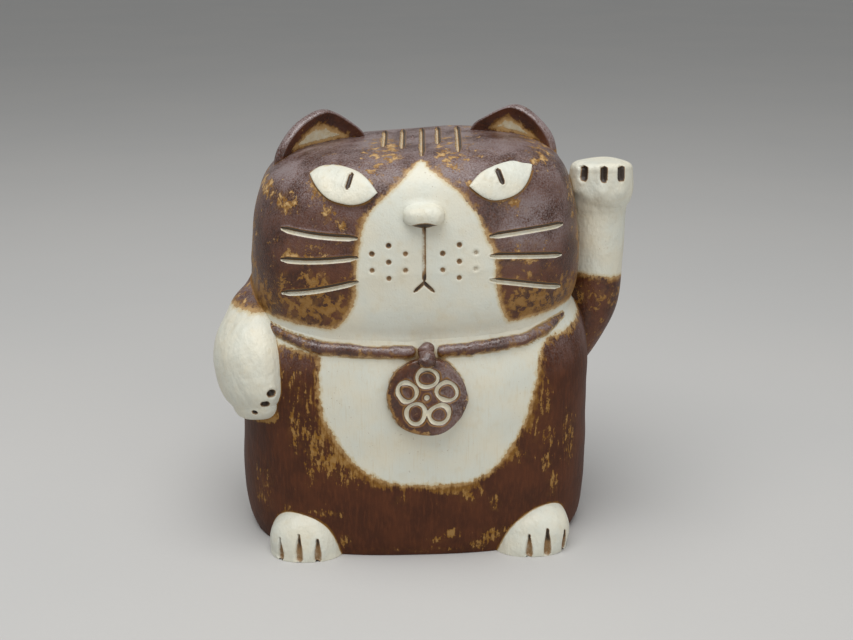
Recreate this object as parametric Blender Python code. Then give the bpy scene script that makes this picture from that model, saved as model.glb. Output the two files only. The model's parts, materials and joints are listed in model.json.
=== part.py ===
"""Lucky cat figurine in hand-built stoneware, seated, one arm raised beside its head.

Metres, +Z up. The origin is on the surface that the cat stands on, under the middle of its
body, and the cat faces -Y. Left and right are as seen from the front.

The body and the head are two hollow forms, pinched or coiled and then joined, with a slab for
a base. Ears, eyes, nose, collar, medallion, arms, feet and tail are pads and rolls of clay
pressed on before firing. Each applied piece is cut to the form that it sits on, with a joint
of SEAM between the two. Nothing on the figurine moves.
"""

import math
from typing import NamedTuple

import bmesh
import bpy
from mathutils import Matrix, Vector

MM = 0.001

# Joint between two pieces that touch
SEAM = 0.3 * MM

# Body: a rounded box on the base, its widest level well below its middle
BODY_WIDTH = 120 * MM
BODY_DEPTH = 91 * MM
BODY_LEVEL = 34 * MM
BODY_RISE = 46 * MM
BODY_DROP = 46 * MM
SHOULDER_RISE = 7 * MM
BODY_WALL = 5.5 * MM
BODY_PLAN = 2.8
BODY_PROFILE = 5.0

# Head: a wider-than-tall rounded box that sits in the top of the body
HEAD_WIDTH = 111 * MM
HEAD_DEPTH = 87 * MM
HEAD_LEVEL = 97 * MM
HEAD_RISE = 35.4 * MM
HEAD_DROP = 38 * MM
HEAD_WALL = 5.5 * MM
HEAD_PLAN = 2.9
HEAD_CROWN = 5.0
HEAD_JOWL = 2.8
HEAD_TAPER = 0.08
HEAD_LEAN = 0.05

# Opening from the head's hollow down into the body's
NECK_WIDTH = 62 * MM
NECK_DEPTH = 44 * MM

# Base slab inside the foot of the body's wall, and the hole that lets kiln gases out
SLAB_THICKNESS = 6 * MM
SLAB_SEAM = 0.5 * MM
VENT_DIAMETER = 11 * MM
VENT_SET_BACK = 16 * MM

# Ears: their outer ends are turned to the front. Each is given by how far its inner end, its
# outer end and its peak are from its middle, outwards being positive for the peak, and its height.
EAR_SPREAD = 30.5 * MM
EAR_TURN = 33.0
LEFT_EAR = (14.4 * MM, 18.8 * MM, 0.8 * MM, 11.0 * MM)
RIGHT_EAR = (13.4 * MM, 17.2 * MM, 2.4 * MM, 9.6 * MM)
EAR_ROOT = 9 * MM
EAR_THICKNESS = 7.5 * MM
EAR_RIM = 3.4 * MM
EAR_SET_BACK = 4 * MM

# Eyes: almond pads, each with a pressed slit. Rises on the face are above the head's widest level.
# Each eye is given by its rise, the heights of its upper and lower lid, its slant, and how far the
# middle of its pupil is inwards and up from its own middle.
EYE_SPREAD = 24.6 * MM
EYE_LENGTH = 21.4 * MM
LEFT_EYE = (28.4 * MM, 4.5 * MM, 5.3 * MM, 14.4, 1.6 * MM, 1.2 * MM)
RIGHT_EYE = (28.0 * MM, 3.4 * MM, 6.6 * MM, 10.4, 0.8 * MM, 0.2 * MM)
EYE_CORNER = 2.4
EYE_THICKNESS = 1.6 * MM
EYE_ROOT = 2.5 * MM
PUPIL_LENGTH = 4.4 * MM
PUPIL_WIDTH = 1.9 * MM
PUPIL_LEAN = 21.0

# Nose and mouth
FACE_MIDDLE = 1.5 * MM
NOSE_RISE = 18 * MM
NOSE_WIDTH = 13.4 * MM
NOSE_UPPER = 6.4 * MM
NOSE_LOWER = 2.8 * MM
NOSE_THICKNESS = 4.8 * MM
MOUTH_START = 2.5 * MM
MOUTH_LENGTH = 18.3 * MM
MOUTH_SPREAD = 3.3 * MM
MOUTH_FALL = 3.8 * MM

# Lines and dots pressed into the face with a stick
LINE_WIDTH = 1.6 * MM
LINE_DEPTH = 0.9 * MM
DOT_DIAMETER = 2.2 * MM
WHISKER_INNER = 21.2 * MM
WHISKER_OUTER = 44.2 * MM
WHISKER_RISES = (11.3 * MM, 5.2 * MM, -2.5 * MM)
WHISKER_LIFTS = (1.2 * MM, -2.3 * MM, -5.3 * MM)
DOT_SPREAD = 11 * MM
DOT_RISE = 3.9 * MM
DOT_STEP_X = 5.2 * MM
DOT_STEP_Z = 2.6 * MM
STRIPE_PITCH = 5.9 * MM
STRIPE_BACK = 6 * MM
STRIPE_FRONTS = (15 * MM, 18 * MM, 27 * MM, 14 * MM, 25 * MM)

# Collar: two rolls of clay under the chin, a bail between them and a disc below
COLLAR_THICKNESS = 3.6 * MM
COLLAR_BELOW_SEAM = 3.1 * MM
COLLAR_PROUD = 0.5 * MM
COLLAR_MIDDLE = 2.2 * MM
COLLAR_GAP = 4.6 * MM
COLLAR_END_TURN = 62.0
BAIL_WIDTH = 5.6 * MM
BAIL_LENGTH = 8.6 * MM
BAIL_THICKNESS = 4.6 * MM
MEDALLION_DIAMETER = 25.4 * MM
MEDALLION_THICKNESS = 3.2 * MM
MEDALLION_BEVEL = 0.8 * MM
MEDALLION_ROOT = 4 * MM
MEDALLION_DROP = 13.8 * MM
PETAL_COUNT = 5
PETAL_DIAMETER = 6.2 * MM
PETAL_ORBIT = 6.5 * MM
PETAL_LINE = 1.3 * MM

# Feet: their middles lie inside the body's side and front. Each is given by how much it leans
# outwards, as a slope, and how far its toe lines are outwards.
FOOT_FROM_SIDE = 22.7 * MM
FOOT_FROM_FRONT = 9 * MM
FOOT_WIDTH = 25 * MM
FOOT_HEIGHT = 15.4 * MM
FOOT_LENGTH = 21 * MM
LEFT_FOOT = (0.08, 2.8 * MM)
RIGHT_FOOT = (0.26, 4.9 * MM)
FOOT_TOE_PITCH = 6.2 * MM
TOE_LINE_WIDTH = 2.4 * MM
TOE_LINE_LENGTH = 7.4 * MM
TOE_LINE_DEPTH = 1.3 * MM
TOE_LINE_FOOT = 1.4 * MM

# Raised arm: half widths grow from the shoulder to the paw
ARM_ROOT_HEIGHT = 58 * MM
ELBOW_HEIGHT = 78 * MM
WRIST_HEIGHT = 106 * MM
PAW_TOP = 124.6 * MM
FOREARM_WIDTH = 18.8 * MM
FOREARM_DEPTH = 19 * MM
PAW_WIDTH = 21.8 * MM
PAW_DEPTH = 22.6 * MM
PAW_CURL = 1.6 * MM
PAW_BLUNTNESS = 0.4
ARM_OUT = 3.1 * MM
PAW_TOE_PITCH = 5.8 * MM
PAW_TOE_SHIFT = -1 * MM
PAW_TOE_LENGTH = 7 * MM

# Lowered arm: a drop of clay over the front corner of the body
DROP_TOP = 90 * MM
DROP_TIP = 45 * MM
DROP_WIDTH = 31 * MM
DROP_DEPTH = 21.4 * MM
DROP_ACROSS = (-0.485, 0.874, 0)
DROP_HOLE_DIAMETER = 3.4 * MM
DROP_HOLES = ((57.2 * MM, 0), (52.5 * MM, 14), (50.0 * MM, 40))

# Its path: share of its height, turn in plan, distance out of the body and share of its width
DROP_PATH = (
    (1.00, 189.0, -8.6 * MM, 0.26),
    (0.86, 191.0, -7.0 * MM, 0.40),
    (0.72, 195.0, -4.0 * MM, 0.60),
    (0.58, 200.0, -1.6 * MM, 0.85),
    (0.44, 204.0, -0.3 * MM, 1.00),
    (0.30, 206.0, 0.0, 1.00),
    (0.18, 207.6, 0.0, 0.86),
    (0.10, 208.5, 0.0, 0.66),
)

# Tail, low on the back
TAIL_THICKNESS = 11 * MM
TAIL_ROOT_HEIGHT = 9 * MM
TAIL_TIP_HEIGHT = 27 * MM

FORM_CUTS = 11
HOLLOW_CUTS = 7
LIMB_SIDES = 16


class Form:
    """A rounded box: one superellipse in plan, others above and below its widest level."""

    def __init__(self, width, depth, level, rise, drop, plan, above, below, taper=0, saddle=0, lean=0):
        self.half_width = width / 2
        self.half_depth = depth / 2
        self.level = level
        self.rise = rise
        self.drop = drop
        self.plan = plan
        self.above = above
        self.below = below
        self.taper = taper
        self.saddle = saddle
        self.lean = lean

    def grown(self, by):
        """The same form with its surface moved out by a distance, or in by a negative one."""
        return Form(
            2 * (self.half_width + by),
            2 * (self.half_depth + by),
            self.level,
            self.rise + by,
            self.drop + by,
            self.plan,
            self.above,
            self.below,
            self.taper,
            self.saddle,
            self.lean,
        )

    def reach(self, turn):
        """Distance from the Z axis to the form's widest outline, at an angle in plan."""
        across = abs(math.cos(turn) / self.half_width) ** self.plan
        along = abs(math.sin(turn) / self.half_depth) ** self.plan
        return (across + along) ** (-1 / self.plan)

    def narrowing(self, turn, height):
        """How wide the form is at a height, as a share of its widest outline."""
        if height > self.level:
            share = (height - self.level) / (self.rise + self.saddle * math.cos(turn) ** 2)
            power = self.above
        else:
            share = (self.level - height) / self.drop
            power = self.below
        if share >= 1:
            return 0.0
        taper = self.taper * share if height > self.level else 0
        return (1 - share**power) ** (1 / power) * (1 - taper)

    def radius(self, turn, height):
        """Distance from the Z axis to the surface, at an angle in plan and a height."""
        reach = self.reach(turn)
        found = reach
        for _ in range(8):
            upright = height - self.lean * found * math.cos(turn)
            found = reach * self.narrowing(turn, upright)
        return found

    def spot(self, turn, height, out=0.0):
        """The point of the surface at an angle in plan and a height, moved out sideways."""
        radius = self.radius(turn, height) + out
        return Vector((radius * math.cos(turn), radius * math.sin(turn), height))

    def front(self, x, height, out=0.0):
        """The point of the front surface at an x and a height, moved out to the front."""
        nearest, furthest = math.radians(-90), math.radians(0 if x > 0 else -180)
        for _ in range(40):
            turn = (nearest + furthest) / 2
            if abs(self.radius(turn, height) * math.cos(turn)) < abs(x):
                nearest = turn
            else:
                furthest = turn
        return Vector((x, self.radius(nearest, height) * math.sin(nearest) - out, height))

    def crown(self, x, y, out=0.0):
        """The point of the top surface over a place in plan, moved up."""
        turn = math.atan2(y, x)
        low, high = self.level, self.level + self.rise + self.saddle
        for _ in range(40):
            height = (low + high) / 2
            if self.reach(turn) * self.narrowing(turn, height) > math.hypot(x, y):
                low = height
            else:
                high = height
        return Vector((x, y, low + self.lean * x + out))

    def onto(self, corner):
        """The point of the surface that a point of the cube from -1 to 1 goes to."""
        x = corner.x * self.half_width
        y = corner.y * self.half_depth
        turn = math.atan2(y, x)
        flat = math.hypot(x, y) / self.reach(turn)
        power = self.above if corner.z > 0 else self.below
        size = (flat**power + abs(corner.z) ** power) ** (1 / power)
        share = corner.z / size
        tall = self.rise + self.saddle * math.cos(turn) ** 2 * min(1, flat) if corner.z > 0 else self.drop
        inwards = (1 - self.taper * max(0, share)) / size
        return Vector((x * inwards, y * inwards, self.level + share * tall + self.lean * x * inwards))


BODY = Form(
    BODY_WIDTH,
    BODY_DEPTH,
    BODY_LEVEL,
    BODY_RISE,
    BODY_DROP,
    BODY_PLAN,
    BODY_PROFILE,
    BODY_PROFILE,
    saddle=SHOULDER_RISE,
)
HEAD = Form(
    HEAD_WIDTH,
    HEAD_DEPTH,
    HEAD_LEVEL,
    HEAD_RISE,
    HEAD_DROP,
    HEAD_PLAN,
    HEAD_CROWN,
    HEAD_JOWL,
    taper=HEAD_TAPER,
    lean=HEAD_LEAN,
)


def seam_height(turn):
    """Height at which the head's jowl meets the body's shoulder, at an angle in plan."""
    low, high = HEAD_LEVEL - HEAD_DROP, HEAD_LEVEL
    for _ in range(40):
        height = (low + high) / 2
        if BODY.radius(turn, height) > HEAD.radius(turn, height):
            low = height
        else:
            high = height
    return low


class Station(NamedTuple):
    """One section of a roll of clay: its middle and its two half thicknesses."""

    middle: Vector
    wide: float
    deep: float


def slip(name, colour, roughness):
    """A fired surface."""
    material = bpy.data.materials.new(name)
    material.use_nodes = True
    shader = material.node_tree.nodes["Principled BSDF"]
    shader.inputs["Base Color"].default_value = (*colour, 1)
    shader.inputs["Roughness"].default_value = roughness
    shader.inputs["Metallic"].default_value = 0.0
    material.diffuse_color = (*colour, 1)
    return material


def keep(name, mesh, material, smooth=True):
    """Makes a named object of a bmesh, smooth except at its sharp edges."""
    bmesh.ops.recalc_face_normals(mesh, faces=mesh.faces[:])
    data = bpy.data.meshes.new(name)
    mesh.to_mesh(data)
    mesh.free()
    if smooth:
        data.shade_smooth()
        data.set_sharp_from_angle(angle=math.radians(40))
    data.materials.append(material)
    made = bpy.data.objects.new(name, data)
    bpy.context.scene.collection.objects.link(made)
    return made


def tool(name, mesh):
    """Makes a cutter, which is no part of the figurine. What it cuts shows a sharp edge."""
    made = keep(name, mesh, slip(name, (0.5, 0.5, 0.5), 0.5), smooth=False)
    made.hide_render = True
    made.display_type = "WIRE"
    return made


def cut(piece, *cutters):
    """Takes the cutters' shapes away from a piece."""
    for cutter in cutters:
        modifier = piece.modifiers.new(cutter.name, "BOOLEAN")
        modifier.operation = "DIFFERENCE"
        modifier.solver = "EXACT"
        modifier.object = cutter
    return piece


def rounded_box(form, cuts, finer=None):
    """A cube, subdivided, with its points moved onto a form.

    finer picks the cube's faces, by their middles, that are divided once more.
    """
    mesh = bmesh.new()
    bmesh.ops.create_cube(mesh, size=2)
    bmesh.ops.subdivide_edges(mesh, edges=mesh.edges[:], cuts=cuts, use_grid_fill=True)
    if finer:
        picked = {edge for face in mesh.faces if finer(face.calc_center_median()) for edge in face.edges}
        bmesh.ops.subdivide_edges(mesh, edges=list(picked), cuts=1, use_grid_fill=True)
    for vertex in mesh.verts:
        vertex.co = form.onto(vertex.co)
    return mesh


def head_mesh(form):
    """The head's outside, finer over the face and under the forehead stripes."""

    def finer(middle):
        return middle.y < -0.99 or (middle.z > 0.99 and abs(middle.x) < 0.34 and middle.y < 0.34)

    return rounded_box(form, FORM_CUTS, finer)


def stand_flat(mesh):
    """Cuts a mesh off level with the surface that the figurine stands on."""
    everything = mesh.verts[:] + mesh.edges[:] + mesh.faces[:]
    bmesh.ops.bisect_plane(mesh, geom=everything, plane_co=(0, 0, 0), plane_no=(0, 0, 1), clear_inner=True)
    rim = [edge for edge in mesh.edges if edge.is_boundary]
    bmesh.ops.holes_fill(mesh, edges=rim)
    return mesh


def skin(mesh, rings, closed_ends=True):
    """Joins rings of points, each with as many, into a tube with filled ends."""
    made = [[mesh.verts.new(point) for point in ring] for ring in rings]
    count = len(made[0])
    for ring, following in zip(made, made[1:]):
        for index in range(count):
            after = (index + 1) % count
            mesh.faces.new((ring[index], ring[after], following[after], following[index]))
    if closed_ends:
        mesh.faces.new(made[0][::-1])
        mesh.faces.new(made[-1])
    return mesh


def between(values, index, share):
    """Catmull-Rom value between one entry and the next."""
    before = values[max(index - 1, 0)]
    start, end = values[index], values[index + 1]
    after = values[min(index + 2, len(values) - 1)]
    pull = (end - before) * 0.5 * share * (1 - share) ** 2
    push = (after - start) * 0.5 * share**2 * (1 - share)
    blend = share * share * (3 - 2 * share)
    return start + (end - start) * blend + pull - push


def ring_round(station, tangent, across, sides):
    """Points of an ellipse square to a roll's direction."""
    wide = (across - tangent * across.dot(tangent)).normalized()
    deep = tangent.cross(wide)
    turns = [2 * math.pi * index / sides for index in range(sides)]
    return [
        station.middle + wide * station.wide * math.cos(turn) + deep * station.deep * math.sin(turn)
        for turn in turns
    ]


def roll(mesh, stations, across=(1, 0, 0), sides=LIMB_SIDES, steps=3, domes=3, blunt=1.0, grow=0.0):
    """A roll of clay through stations. Its ends are domed, the last one flatter if blunt is under 1."""
    across = Vector(across)
    middles = [station.middle for station in stations]
    wides = [station.wide + grow for station in stations]
    deeps = [station.deep + grow for station in stations]
    sections = []
    for index in range(len(stations) - 1):
        for step in range(steps):
            share = step / steps
            sections.append(
                Station(
                    between(middles, index, share),
                    between(wides, index, share),
                    between(deeps, index, share),
                )
            )
    sections.append(Station(middles[-1], wides[-1], deeps[-1]))
    last = len(sections) - 1
    rings = []
    for index, section in enumerate(sections):
        before = sections[max(index - 1, 0)].middle
        after = sections[min(index + 1, last)].middle
        direction = (after - before).normalized()
        if index == 0:
            for dome in range(domes, 0, -1):
                rings.append(domed(section, direction, -dome / (domes + 0.5), 1.0, across, sides))
        rings.append(ring_round(section, direction, across, sides))
        if index == last:
            for dome in range(1, domes + 1):
                rings.append(domed(section, direction, dome / (domes + 0.5), blunt, across, sides))
    return skin(mesh, rings)


def domed(section, direction, share, blunt, across, sides):
    """One ring of the dome that ends a roll, before its start where the share is negative."""
    lean = share * math.pi / 2
    size = math.cos(lean) ** blunt
    height = min(section.wide, section.deep) * blunt
    moved = Station(
        section.middle + direction * height * math.sin(lean), section.wide * size, section.deep * size
    )
    return ring_round(moved, direction, across, sides)


def pad(mesh, outline, middle, front, back):
    """A pad in the XZ plane: an outline drawn smaller in steps, each at its own depth.

    front and back list (share of the outline, y) from the edge inwards, front's last share
    and back's last share being the small faces that close the pad.
    """
    rings = []
    for share, depth in back[::-1] + front:
        rings.append(
            [
                Vector((middle.x + (x - middle.x) * share, depth, middle.z + (z - middle.z) * share))
                for x, z in outline
            ]
        )
    return skin(mesh, rings)


def closed_curve(points, steps):
    """A smooth closed outline through a few points of the front view."""
    count = len(points)
    looped = [Vector(points[index % count]) for index in range(-1, count + 2)]
    curve = []
    for index in range(1, count + 1):
        for step in range(steps):
            curve.append(between(looped, index, step / steps))
    return [(point.x, point.y) for point in curve]


def stroke(mesh, places, width, sides=6):
    """A pressed line: a thin roll along places on a surface, pointed at both ends."""
    last = len(places) - 1
    stations = []
    for index, place in enumerate(places):
        half = width / 2 if 0 < index < last else width / 5
        stations.append(Station(place, half, half))
    along = places[-1] - places[0]
    across = Vector((0, 1, 0)) if abs(along.y) < along.length / 2 else Vector((1, 0, 0))
    return roll(mesh, stations, across, sides, steps=1, domes=1)


def face_line(mesh, start, end, count=5, width=LINE_WIDTH, form=HEAD):
    """A pressed line on a form's front, between two places of the front view."""
    places = []
    for index in range(count):
        share = index / (count - 1)
        x = start[0] + (end[0] - start[0]) * share
        height = start[1] + (end[1] - start[1]) * share
        places.append(form.front(x, height, out=width / 2 - LINE_DEPTH))
    return stroke(mesh, places, width)


def body_shell(material, head_seat):
    """The hollow body, open below for the slab and above where the head sits."""
    shell = keep("body_shell", stand_flat(rounded_box(BODY, FORM_CUTS)), material)
    hollow = tool("body_hollow", rounded_box(BODY.grown(-BODY_WALL), HOLLOW_CUTS))
    return cut(shell, hollow, head_seat)


def base_slab(material):
    """The slab that closes the foot of the body, cut to its wall, with the vent hole."""
    mesh = stand_flat(rounded_box(BODY.grown(-BODY_WALL - SLAB_SEAM), HOLLOW_CUTS))
    everything = mesh.verts[:] + mesh.edges[:] + mesh.faces[:]
    bmesh.ops.bisect_plane(
        mesh, geom=everything, plane_co=(0, 0, SLAB_THICKNESS), plane_no=(0, 0, 1), clear_outer=True
    )
    rim = [edge for edge in mesh.edges if edge.is_boundary]
    bmesh.ops.holes_fill(mesh, edges=rim)
    slab = keep("base_slab", mesh, material)
    vent = bmesh.new()
    bmesh.ops.create_cone(
        vent,
        cap_ends=True,
        segments=24,
        radius1=VENT_DIAMETER / 2,
        radius2=VENT_DIAMETER / 2,
        depth=SLAB_THICKNESS * 3,
    )
    bmesh.ops.translate(vent, verts=vent.verts, vec=(0, VENT_SET_BACK, SLAB_THICKNESS / 2))
    return cut(slab, tool("vent_cutter", vent))


def head_shell(material):
    """The hollow head, open below at the neck, with the lines and dots of its face."""
    shell = keep("head_shell", head_mesh(HEAD), material)
    hollow = tool("head_hollow", rounded_box(HEAD.grown(-HEAD_WALL), HOLLOW_CUTS))
    sides = 32
    rings = []
    for height in (HEAD_LEVEL - HEAD_DROP - HEAD_WALL, HEAD_LEVEL - HEAD_DROP + 2 * HEAD_WALL):
        turns = [2 * math.pi * index / sides for index in range(sides)]
        rings.append(
            [
                Vector((NECK_WIDTH / 2 * math.cos(turn), NECK_DEPTH / 2 * math.sin(turn), height))
                for turn in turns
            ]
        )
    neck = tool("neck_cutter", skin(bmesh.new(), rings))
    return cut(shell, hollow, neck, face_cutter(), mouth_cutter())


def face_cutter():
    """Whiskers, whisker dots, forehead stripes and the line below the nose, none touching."""
    mesh = bmesh.new()
    for side in (-1, 1):
        for rise, lift in zip(WHISKER_RISES, WHISKER_LIFTS):
            inner = (FACE_MIDDLE + side * WHISKER_INNER, HEAD_LEVEL + rise)
            outer = (FACE_MIDDLE + side * WHISKER_OUTER, HEAD_LEVEL + rise + lift)
            face_line(mesh, inner, outer, count=7)
        for x, z in dot_places(side):
            dot(mesh, HEAD.front(x, z), DOT_DIAMETER / 2)
    top = HEAD_LEVEL + NOSE_RISE - MOUTH_START
    face_line(mesh, (FACE_MIDDLE, top), (FACE_MIDDLE, top - MOUTH_LENGTH - LINE_WIDTH / 2))
    middle = (len(STRIPE_FRONTS) - 1) / 2
    for index, front in enumerate(STRIPE_FRONTS):
        forehead_stripe(mesh, FACE_MIDDLE + (index - middle) * STRIPE_PITCH, front)
    return tool("face_cutter", mesh)


def mouth_cutter():
    """The two short lines below the one from the nose, as one bent line."""
    above = LINE_WIDTH / 2 - LINE_DEPTH
    fork = HEAD_LEVEL + NOSE_RISE - MOUTH_START - MOUTH_LENGTH
    places = []
    for share in (-1, -0.5, 0, 0.5, 1):
        x = FACE_MIDDLE + share * MOUTH_SPREAD
        places.append(HEAD.front(x, fork - abs(share) * MOUTH_FALL, above))
    mesh = bmesh.new()
    stroke(mesh, places, LINE_WIDTH)
    return tool("mouth_cutter", mesh)


def dot_places(side):
    """The seven pressed dots of one cheek: a hexagon and its middle."""
    middle_x = FACE_MIDDLE + side * DOT_SPREAD
    height = HEAD_LEVEL + DOT_RISE
    places = [(middle_x, height)]
    for step_x, step_z in ((0, 2), (1, 1), (1, -1), (0, -2), (-1, -1), (-1, 1)):
        places.append((middle_x + step_x * DOT_STEP_X, height + step_z * DOT_STEP_Z))
    return places


def dot(mesh, place, radius, sides=6):
    """A pressed dot, as a small ball on the surface."""
    made = bmesh.ops.create_uvsphere(mesh, u_segments=sides, v_segments=sides - 2, radius=radius)
    bmesh.ops.translate(mesh, verts=made["verts"], vec=place)


def forehead_stripe(mesh, x, front):
    """A pressed line on the crown, from behind its top to its front edge."""
    places = []
    for share in (0, 0.3, 0.6, 0.85, 1):
        y = STRIPE_BACK - (STRIPE_BACK + front) * share
        places.append(HEAD.crown(x, y, LINE_WIDTH / 2 - LINE_DEPTH))
    return stroke(mesh, places, LINE_WIDTH)


def ear(name, side, ends, material, head_seat):
    """A cupped triangle on the crown's corner, its root below the surface."""
    root = HEAD.crown(FACE_MIDDLE + side * EAR_SPREAD, EAR_SET_BACK)
    inner, outer, peak, tall = ends
    drawn = [
        (peak, tall),
        (peak + 0.58 * (outer - peak), 0.72 * tall),
        (outer, -0.15 * tall),
        (0.93 * outer, -EAR_ROOT),
        (0, -EAR_ROOT),
        (-0.95 * inner, -EAR_ROOT * 0.4),
        (-inner, 0.14 * tall),
        (peak - 0.58 * (inner + peak), 0.68 * tall),
    ]
    points = [(root.x + side * x, root.z + z) for x, z in drawn]
    outline = closed_curve(points, 4)
    middle = Vector((root.x, 0, root.z - 0.3 * tall))
    rim = EAR_RIM / outer
    front = [
        (1.0, root.y - EAR_THICKNESS * 0.15),
        (1 - rim * 0.4, root.y - EAR_THICKNESS * 0.27),
        (1 - rim, root.y - EAR_THICKNESS * 0.20),
        (1 - 1.8 * rim, root.y + EAR_THICKNESS * 0.02),
        (0.25, root.y + EAR_THICKNESS * 0.10),
    ]
    back = [
        (1.0, root.y + EAR_THICKNESS * 0.15),
        (0.85, root.y + EAR_THICKNESS * 0.5),
        (0.5, root.y + EAR_THICKNESS * 0.65),
    ]
    mesh = pad(bmesh.new(), outline, middle, front, back)
    turn = Matrix.Rotation(-side * math.radians(EAR_TURN), 3, "Z")
    bmesh.ops.rotate(mesh, verts=mesh.verts, cent=root, matrix=turn)
    return cut(keep(name, mesh, material), head_seat)


def eye(name, side, shape, material, head_seat):
    """An almond pad that follows the face, with a pressed slit for its pupil."""
    centre_x = FACE_MIDDLE + side * EYE_SPREAD
    rise, upper_lid, lower_lid, slant, pupil_in, pupil_up = shape
    centre_z = HEAD_LEVEL + rise + HEAD_LEAN * centre_x
    slant = side * math.radians(slant) + math.atan(HEAD_LEAN)
    outline = []
    steps = 12
    for lid, sign in ((upper_lid, 1), (lower_lid, -1)):
        for step in range(steps):
            share = sign * (1 - 2 * step / steps)
            x, z = share * EYE_LENGTH / 2, sign * lid * (1 - abs(share) ** EYE_CORNER)
            outline.append(
                (
                    centre_x + x * math.cos(slant) - z * math.sin(slant),
                    centre_z + x * math.sin(slant) + z * math.cos(slant),
                )
            )
    mesh = bmesh.new()
    rings = []
    for share, out in ((0.6, -1), (1.0, -1), (1.0, 0.55), (0.86, 0.9), (0.55, 1.0), (0.2, 1.0)):
        raised = out * (EYE_ROOT if out < 0 else EYE_THICKNESS)
        rings.append(
            [
                HEAD.front(centre_x + (x - centre_x) * share, centre_z + (z - centre_z) * share, raised)
                for x, z in outline
            ]
        )
    made = keep(name, skin(mesh, rings), material)
    slit = bmesh.new()
    half, lean = PUPIL_LENGTH / 2, math.radians(PUPIL_LEAN)
    places = []
    for share in (-1, -0.4, 0.4, 1):
        x = centre_x - side * (pupil_in + share * half * math.sin(lean))
        places.append(HEAD.front(x, centre_z + pupil_up + share * half * math.cos(lean), EYE_THICKNESS))
    stroke(slit, places, PUPIL_WIDTH)
    return cut(made, head_seat, tool(name + "_slit", slit))


def nose(material, head_seat):
    """An egg of clay, its thin end up, half sunk in the face."""
    egg = Form(NOSE_WIDTH, 2 * NOSE_THICKNESS, 0, NOSE_UPPER, NOSE_LOWER, 2.2, 1.7, 2.4)
    mesh = rounded_box(egg, 6)
    bmesh.ops.translate(mesh, verts=mesh.verts, vec=HEAD.front(FACE_MIDDLE, HEAD_LEVEL + NOSE_RISE))
    return cut(keep("nose", mesh, material), head_seat)


def collar_roll(side, grow=0.0):
    """The stations of one collar roll, on the shoulder just under the seam."""
    start_x = COLLAR_MIDDLE + side * COLLAR_GAP
    start = BODY.front(start_x, seam_height(math.radians(-90)) - COLLAR_BELOW_SEAM)
    first = math.degrees(math.atan2(start.y, start.x))
    last = -90 + side * COLLAR_END_TURN
    count = 9
    stations = []
    for index in range(count):
        turn = math.radians(first + (last - first) * index / (count - 1))
        height = seam_height(turn) - COLLAR_BELOW_SEAM
        half = COLLAR_THICKNESS / 2 * (1.0 if index < count - 2 else 0.75 if index < count - 1 else 0.5)
        stations.append(Station(BODY.spot(turn, height, COLLAR_PROUD), half + grow, half + grow))
    return stations


def collar(name, side, material, *seats):
    """One of the two rolls that meet at the bail."""
    mesh = roll(bmesh.new(), collar_roll(side), across=(0, 0, 1), sides=10, steps=2, domes=2)
    return cut(keep(name, mesh, material), *seats)


def bail(material, *seats):
    """The bean of clay that the medallion hangs from."""
    centre = seam_height(math.radians(-90)) - COLLAR_BELOW_SEAM
    stations = []
    for share, wide in ((-0.5, 0.9), (-0.15, 0.8), (0.15, 0.78), (0.5, 0.86)):
        height = centre + share * (BAIL_LENGTH - BAIL_WIDTH)
        middle = BODY.front(COLLAR_MIDDLE, min(height, centre), BAIL_THICKNESS * 0.3)
        middle.z = height
        stations.append(Station(middle, BAIL_WIDTH / 2 * wide, BAIL_THICKNESS / 2))
    made = keep("collar_bail", roll(bmesh.new(), stations, steps=2, sides=14), material)
    return cut(made, *seats)


def medallion_frame():
    """Middle of the medallion's back and the two directions of its plane."""
    top = seam_height(math.radians(-90)) - COLLAR_BELOW_SEAM
    middle = BODY.front(COLLAR_MIDDLE, top - MEDALLION_DROP)
    above = BODY.front(COLLAR_MIDDLE, middle.z + MEDALLION_DIAMETER / 2)
    below = BODY.front(COLLAR_MIDDLE, middle.z - MEDALLION_DIAMETER / 2)
    up = (above - below).normalized()
    return middle, Vector((1, 0, 0)), up, up.cross(Vector((1, 0, 0)))


def disc(grow=0.0):
    """The medallion's blank, its back sunk into the belly."""
    middle, right, up, inwards = medallion_frame()
    sides = 40
    radius = MEDALLION_DIAMETER / 2 + grow
    front = -MEDALLION_THICKNESS - grow
    rings = []
    for out, size in (
        (MEDALLION_ROOT, radius),
        (front + MEDALLION_BEVEL, radius),
        (front, radius - MEDALLION_BEVEL),
    ):
        turns = [2 * math.pi * index / sides for index in range(sides)]
        rings.append(
            [
                middle + right * size * math.cos(turn) + up * size * math.sin(turn) + inwards * out
                for turn in turns
            ]
        )
    return skin(bmesh.new(), rings)


def medallion(material, *seats):
    """A clay disc with a pressed blossom: a ring for each petal and a dot in the middle."""
    middle, right, up, inwards = medallion_frame()
    face = middle - inwards * (MEDALLION_THICKNESS + PETAL_LINE / 2 - LINE_DEPTH)
    blossom = bmesh.new()
    for index in range(PETAL_COUNT):
        turn = math.radians(90) + 2 * math.pi * index / PETAL_COUNT
        heart = face + right * PETAL_ORBIT * math.cos(turn) + up * PETAL_ORBIT * math.sin(turn)
        petal_ring(blossom, heart, right, up, inwards)
    dot(blossom, face + inwards * PETAL_LINE / 2, PETAL_LINE, sides=10)
    made = keep("medallion", disc(), material)
    return cut(made, tool("blossom_cutter", blossom), *seats)


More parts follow.
